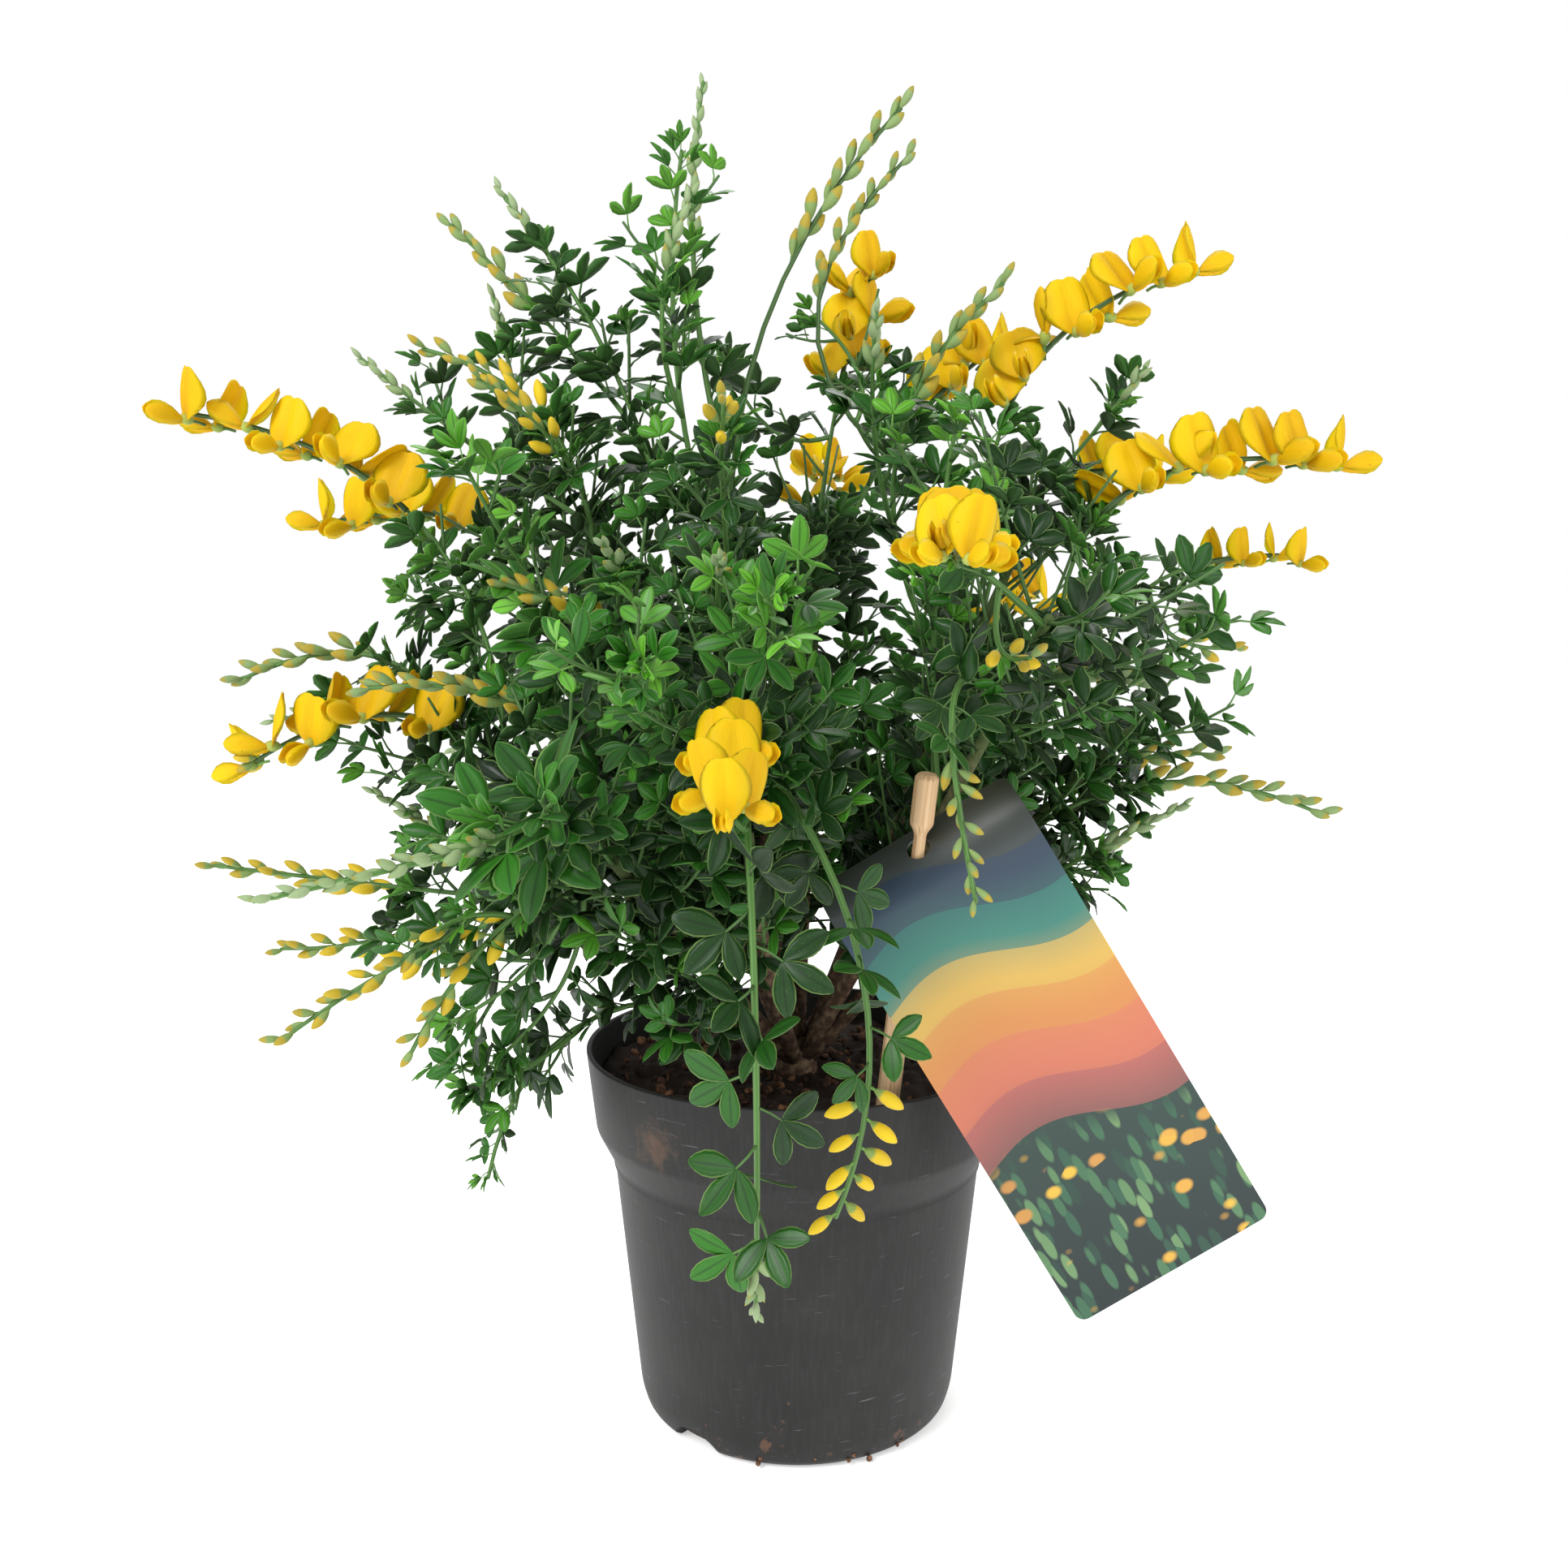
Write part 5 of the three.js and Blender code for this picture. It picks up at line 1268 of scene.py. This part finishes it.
def hides_a_flower(middles):
    """True near the way from the eye to a flower's middle, and before the flower. The distance from
    that way is the root of the squared distance from the eye less the squared way along it."""
    eye = np.array(CAMERA_PLACE) / MM
    sight = flower_centres - eye
    reach = np.linalg.norm(sight, axis=1)
    depth = (middles - eye) @ (sight / reach[:, None]).T
    off = np.sqrt(np.maximum(np.linalg.norm(middles - eye, axis=1)[:, None] ** 2 - depth ** 2, 0))
    return ((off < SIGHT_ROOM) & (depth < reach)).any(axis=1)


def grown(templates, batches, keep_off_flowers=9.0):
    """Stamps leaves of several kinds in turn. A leaf with any point in the way, or with its middle
    nearer to a flower's middle than the given distance or in front of it, is left out."""
    places, frames, sizes, tints = (np.concatenate(part) for part in zip(*batches))
    made = []
    for k, template in enumerate(templates):
        pick = np.arange(k, len(places), len(templates))
        points = carried(np.concatenate([shape.points for shape in template]),
                         frames[pick], places[pick], sizes[pick])
        middles = points.mean(axis=1)
        gaps = np.linalg.norm(middles[:, None] - flower_centres[None], axis=-1).min(axis=1)
        free = ~in_the_way(points).any(axis=1) & (gaps > keep_off_flowers) & ~hides_a_flower(middles)
        pick = pick[free]
        if len(pick):
            made += stamp(template, frames[pick], places[pick], sizes[pick], tints[pick])
    return made


# %% [markdown]
# ## Racemes in flower
# Each raceme is a dark green stem with its open flowers. The last to open is at its tip, and one
# raceme still has buds there. Each flower could be an object of its own, but copies of three
# templates written into one mesh keep a raceme a single piece.

# %% Racemes
TIP_BUDS = {"bloom_left_low"}
HALF_OPEN = {"bloom_right_low"}
bud_stalk_line = np.array([[0, 0, 0], [1, 0, 0.1], [2.2, 0, 0]])
bud_stalk = bar("green_stem", bud_stalk_line, 0, 1, (0.4, 0.4), 4, 1, 0.7)
fat_bud = [bud_stalk, spindle("bud", 1.6, 10.6, 2.2, 1.9, 1.15, 0.65, 0.5, 8, 8)]
for name, (places, frames, sizes) in racemes.items():
    shoot = shoots[name]
    end = RACEME_ENDS.get(name, RACEME_END)
    shapes = [bar("green_stem", shoot.line, shoot.load_start, end, (SIDE_STEM_RADIUS, 0.6), 10, 14,
                  0.15, 0.1)]
    for stage, template in enumerate(flower_stages):
        order = np.arange(len(places))
        chosen = np.where(order >= len(places) - 1, 2, order % 5 == 3)
        if name in HALF_OPEN:
            chosen = np.full(len(places), 2)
        pick = order[chosen == stage]
        if len(pick):
            tints = draw.uniform(0.2, 1.0, len(pick))
            shapes += stamp(template, frames[pick], places[pick], sizes[pick], tints)
    if name in TIP_BUDS:
        tip_places, tip_forward = at_share(shoot.line, np.array([end - 0.03, end - 0.015, end]))
        tip_frames = leaf_frames(tip_places, tip_forward, np.array([40.0, 220.0, 100.0]),
                                 np.array([38.0, 34.0, 12.0]))
        shapes += stamp(fat_bud, tip_frames, tip_places, np.array([0.9, 0.75, 0.6]),
                        np.array([0.9, 0.8, 0.6]))
    make_piece(f"{name}_raceme", shapes, [f"{name}_flowers"])
print("racemes:", sum(triangles[f"{name}_raceme"] for name in racemes), "triangles")

# %% [markdown]
# ## Leafy shoots
# A shoot is a ribbed stem with leaves and short side twigs, and it ends in a leafy tip, a raceme of
# buds or a silvery young spike. The solid model's shoots give the line, and the real number of
# leaves and buds goes on here.

# %% Buds and spikes
plain_bud = [bud_stalk, spindle("bud", 1.6, 10.2, 1.75, 1.5, 1.15, 0.65, 0.9, 7, 7)]
spike_bud = [spindle("bud", 0.0, 7.4, 1.6, 1.35, 0.85, 0.85, 0.5, 6, 6)]
BUDS = {  # spacing, lean, size at the foot and at the tip, tint at the foot and at the tip
    "buds": (3.7, 40, 1.1, 0.7, 0.95, 0.5),
    "spike": (2.6, 31, 1.04, 0.6, 0.26, 0.1),
    "young": (3.5, 30, 1.15, 0.75, 0.62, 0.36),
    "fat": (4.4, 62, 1.0, 0.85, 1.0, 0.9),
    "green": (2.9, 42, 0.8, 0.55, 0.55, 0.4),
}
YOUNG_BUDS = ("right_wand", "right_wand_back", "upper_left_side", "left_low", "left_mid", "right_long",
              "right_long_side", "right_top")
BUD_KINDS = {"hanging_buds": "fat", "label_buds": "green", **dict.fromkeys(YOUNG_BUDS, "young")}


def buds_of(shoot):
    """Buds on the loaded end of a shoot, at even steps and 137.5 degrees apart round it, or left and
    right in turn where they are fat. Size and tint go evenly from foot to tip."""
    kind = BUD_KINDS.get(shoot.name, shoot.load)
    spacing, lean, foot_size, tip_size, foot_tint, tip_tint = BUDS[kind]
    template = {"fat": fat_bud, "spike": spike_bud}.get(kind, plain_bud)
    count = round((1 - shoot.load_start) * shoot.length / spacing)
    way = (np.arange(count) + 0.5) / count
    places, forward = at_share(shoot.line, shoot.load_start + (1 - shoot.load_start) * way)
    step = 180 if kind == "fat" else TURN
    turns = (kind != "fat") * shoot.turn + step * np.arange(count) + draw.uniform(-14, 14, count)
    frames = leaf_frames(places, forward, turns, lean * (1 - 0.3 * way) + draw.uniform(-5, 5, count))
    sizes = foot_size + (tip_size - foot_size) * way
    tints = foot_tint + (tip_tint - foot_tint) * way + draw.uniform(-0.08, 0.08, count)
    return stamp(template, frames, places, sizes * draw.uniform(0.9, 1.08, count), np.clip(tints, 0, 1))


# %% Side twigs
def side_twigs(line, start, end, spacing, first_turn, shortest, longest):
    """Lines of twigs from even steps of a stem: each leaves it at 40 to 62 degrees and then rises."""
    count = max(1, round((end - start) * run_of(line)[-1] / spacing))
    shares = start + (end - start) * (np.arange(count) + 0.5) / count
    roots, forward = at_share(line, shares)
    turns = first_turn + TURN * np.arange(count) + draw.uniform(-25, 25, count)
    ahead = leaf_frames(roots, forward, turns, draw.uniform(40, 62, count))[:, :, 0]
    lengths = draw.uniform(shortest, longest, count)[:, None]
    middles = roots + 0.5 * lengths * ahead
    tips = middles + 0.5 * lengths * unit(ahead + [0, 0, 0.45])
    lines = np.stack([roots, middles, tips], axis=1)
    return [twig for twig in lines if not in_the_way(curve_points(twig, np.linspace(0.15, 1, 9))).any()]


def twig_parts(twigs, spacing, size, age, young):
    """The bars of some twigs, and the batches of leaves that stand on them."""
    bars = [bar("green_stem", twig, 0, 1, (0.62, 0.42), 5, 4, 0.35) for twig in twigs]
    batches = [leaves_along(twig, 0.12, 1, spacing, 61 * number, size, age, young)
               for number, twig in enumerate(twigs)]
    return bars, batches


# %% Shoots
NEAR = {"front_spike", "hanging_leafy", "front_fresh", "hanging_buds", "label_buds", "left_front_droop",
        "bloom_front_low", "bloom_front_high", "fresh_left", "fresh_centre", "right_leafy", "centre_buds"}
BARE = {"hanging_leafy", "hanging_buds", "label_buds", "front_spike", "right_wand", "right_wand_back",
        "top_spike", "top_leafy_side", "top_back"}
LONG_HANGERS = {"hanging_leafy", "hanging_buds", "label_buds"}
LEAF_ENDS = {"right_wand": 0.3, "right_wand_back": 0.35}
LEAF_SPACINGS = {"hanging_leafy": 9.5, "hanging_buds": 9, "front_spike": 8, "rim_droop": 4.5,
                 "top_spike": 13, "top_leafy": 10, "top_leafy_side": 12, "top_back": 12}
LEAF_SIZES = {"front_spike": 1.4, "hanging_leafy": 1.05, "rim_droop": 0.7, "fresh_left": 1.15}
FRESH = {"front_spike", "fresh_left", "fresh_centre", "fresh_right", "front_fresh", "left_small",
         "top_leafy"}
LEAF_SPACING = 8
LEAF_SIZE = 0.92
FRESH_AGE, OLD_AGE = 0.46, 0.2  # tints of leaves
BARE_TINT, STEM_TINT = 0.2, 0.55  # a stem with few leaves is darker
TUFT_LENGTH = 9

sprigs = collections.defaultdict(list)
for shoot in shoots.values():
    green_end = shoot.load_start if shoot.load == "flowers" else 1
    width = STEM_RADIUS if shoot.on_limb else SIDE_STEM_RADIUS
    near = shoot.name in NEAR
    stem_tint = BARE_TINT if shoot.name in LEAF_ENDS else STEM_TINT
    sprigs[shoot.owner].append(bar("green_stem", shoot.line, 0, green_end, (width, width * 0.6),
                                   15 if near else 8, 18 if near else 12, stem_tint, 0.1))
    if shoot.load in ("buds", "spike"):
        sprigs[shoot.owner] += buds_of(shoot)
    leafy = shoot.load == "leaves"
    leaf_end = 1 if leafy else LEAF_ENDS.get(shoot.name, shoot.load_start)
    first = 5 / shoot.length
    age = FRESH_AGE if shoot.name in FRESH else OLD_AGE
    size = LEAF_SIZES.get(shoot.name, LEAF_SIZE)
    spacing = LEAF_SPACINGS.get(shoot.name, LEAF_SPACING)
    young = 0.9 if leafy else 0.35
    batches = [leaves_along(shoot.line, first, leaf_end, spacing, shoot.turn, size, age, young)]
    if shoot.name not in BARE:
        twigs = side_twigs(shoot.line, first + 0.08, leaf_end * 0.9, 15, shoot.turn + 60, 12, 30)
        bars, twig_batches = twig_parts(twigs, 6.2, 0.8 * size, age, 0.8)
        sprigs[shoot.owner] += bars
        batches += twig_batches
    sprigs[shoot.owner] += grown(near_leaves if near else plain_leaves, batches)
    if shoot.name in LONG_HANGERS:
        continue
    tuft_start = max(leaf_end - TUFT_LENGTH / shoot.length, 0.1)
    tuft = [leaves_along(shoot.line, tuft_start, leaf_end, 2.2, shoot.turn + 30, 0.62 * size, 0.52, 0.6)]
    sprigs[shoot.owner] += grown(near_young_leaves if near else young_leaves, tuft, 7.0)
for owner, shapes in sprigs.items():
    make_piece(f"{owner}_sprig", shapes, [owner])
print("sprigs:", len(sprigs), "with", sum(triangles[f"{owner}_sprig"] for owner in sprigs), "triangles")

# %% [markdown]
# ## Twigs on the limbs
# Between its long shoots a broom is filled with short leafy twigs, which make its green ball. They
# grow all along the limbs, and their leaves are darkest near the limb, where they are oldest.

# %% Twigs
TWIG_ENDS = {"limb_top": 0.8}
TWIG_SPACING = 4.7
SHORTEST_TWIG, LONGEST_TWIG = 24, 62
LONGEST_TWIGS = {"limb_top": 36, "limb_right": 48, "limb_right_back": 52, "limb_left": 50}
for number, (name, line) in enumerate(limb_lines.items()):
    longest = LONGEST_TWIGS.get(name, LONGEST_TWIG)
    twigs = side_twigs(line, 0.2, TWIG_ENDS.get(name, 1), TWIG_SPACING, 50 * number, SHORTEST_TWIG,
                       longest)
    bars, batches = twig_parts(twigs, 6.0, 0.86, 0.16, 0.75)
    shapes = bars + grown(plain_leaves, batches)
    make_piece(name.replace("limb", "twigs"), shapes)
print("twigs:", sum(count for name, count in triangles.items() if name.startswith("twigs")), "triangles")

# %% [markdown]
# ## Floor and light
# The object stands on a glowing white floor in a white room, lit by a large soft lamp from the
# front left, a weaker one from the right and one from above and behind that lights the leaves' edges.

# %% Floor
ROOM_LIGHT = 0.6  # the light of the white room, which the eye still sees as plain white
floor_mesh = bpy.data.meshes.new("floor")
FLOOR_HALF = 3.0
corners = [(-FLOOR_HALF, -FLOOR_HALF, 0), (FLOOR_HALF, -FLOOR_HALF, 0),
           (FLOOR_HALF, FLOOR_HALF, 0), (-FLOOR_HALF, FLOOR_HALF, 0)]
floor_mesh.from_pydata(corners, [], [(0, 1, 2, 3)])
tree, shader = new_finish("floor_paper", Roughness=1.0, Specular_IOR_Level=0.0)
shader.inputs["Base Color"].default_value = linear("#FFFFFF")
shader.inputs["Emission Color"].default_value = linear("#FFFFFF")
shader.inputs["Emission Strength"].default_value = 1 - ROOM_LIGHT
floor_mesh.materials.append(bpy.data.materials["floor_paper"])
floor = bpy.data.objects.new("floor", floor_mesh)
bpy.context.scene.collection.objects.link(floor)

# %% Light
LAMPS = {  # place in metres, size across, power in watts
    "key": ((-0.75, -1.0, 1.15), 0.7, 18.0),
    "fill": ((1.1, -0.8, 0.7), 0.9, 6.0),
    "rim": ((0.2, 1.0, 1.3), 0.8, 8.0),
}
MIDDLE = np.array([0, 0, 0.2])  # what every lamp looks at
for name, (spot, across, power) in LAMPS.items():
    lamp = bpy.data.lights.new(name, "AREA")
    lamp.size = across
    lamp.energy = power
    holder = bpy.data.objects.new(name, lamp)
    holder.location = spot
    away = np.array(spot) - MIDDLE
    holder.rotation_euler = (math.atan2(math.hypot(away[0], away[1]), away[2]), 0,
                             math.atan2(away[1], away[0]) + math.pi / 2)
    bpy.context.scene.collection.objects.link(holder)
print("lamps:", len(LAMPS))

world = bpy.data.worlds.new("white room")
world.use_nodes = True
world.node_tree.nodes["Background"].inputs["Color"].default_value = (1, 1, 1, 1)
paths = add_node(world.node_tree, "LightPath")
room_light = add_node(world.node_tree, "MapRange", {"Value": paths.outputs["Is Camera Ray"],
                                                    "To Min": ROOM_LIGHT, "To Max": 1.0})
world.node_tree.links.new(room_light.outputs[0], world.node_tree.nodes["Background"].inputs["Strength"])
bpy.context.scene.world = world
bpy.context.scene.view_settings.view_transform = "Standard"

# %% [markdown]
# ## Finish
# The triangles of all pieces made here are counted and printed.

# %% Count the triangles
print("triangles in all:", sum(triangles.values()))
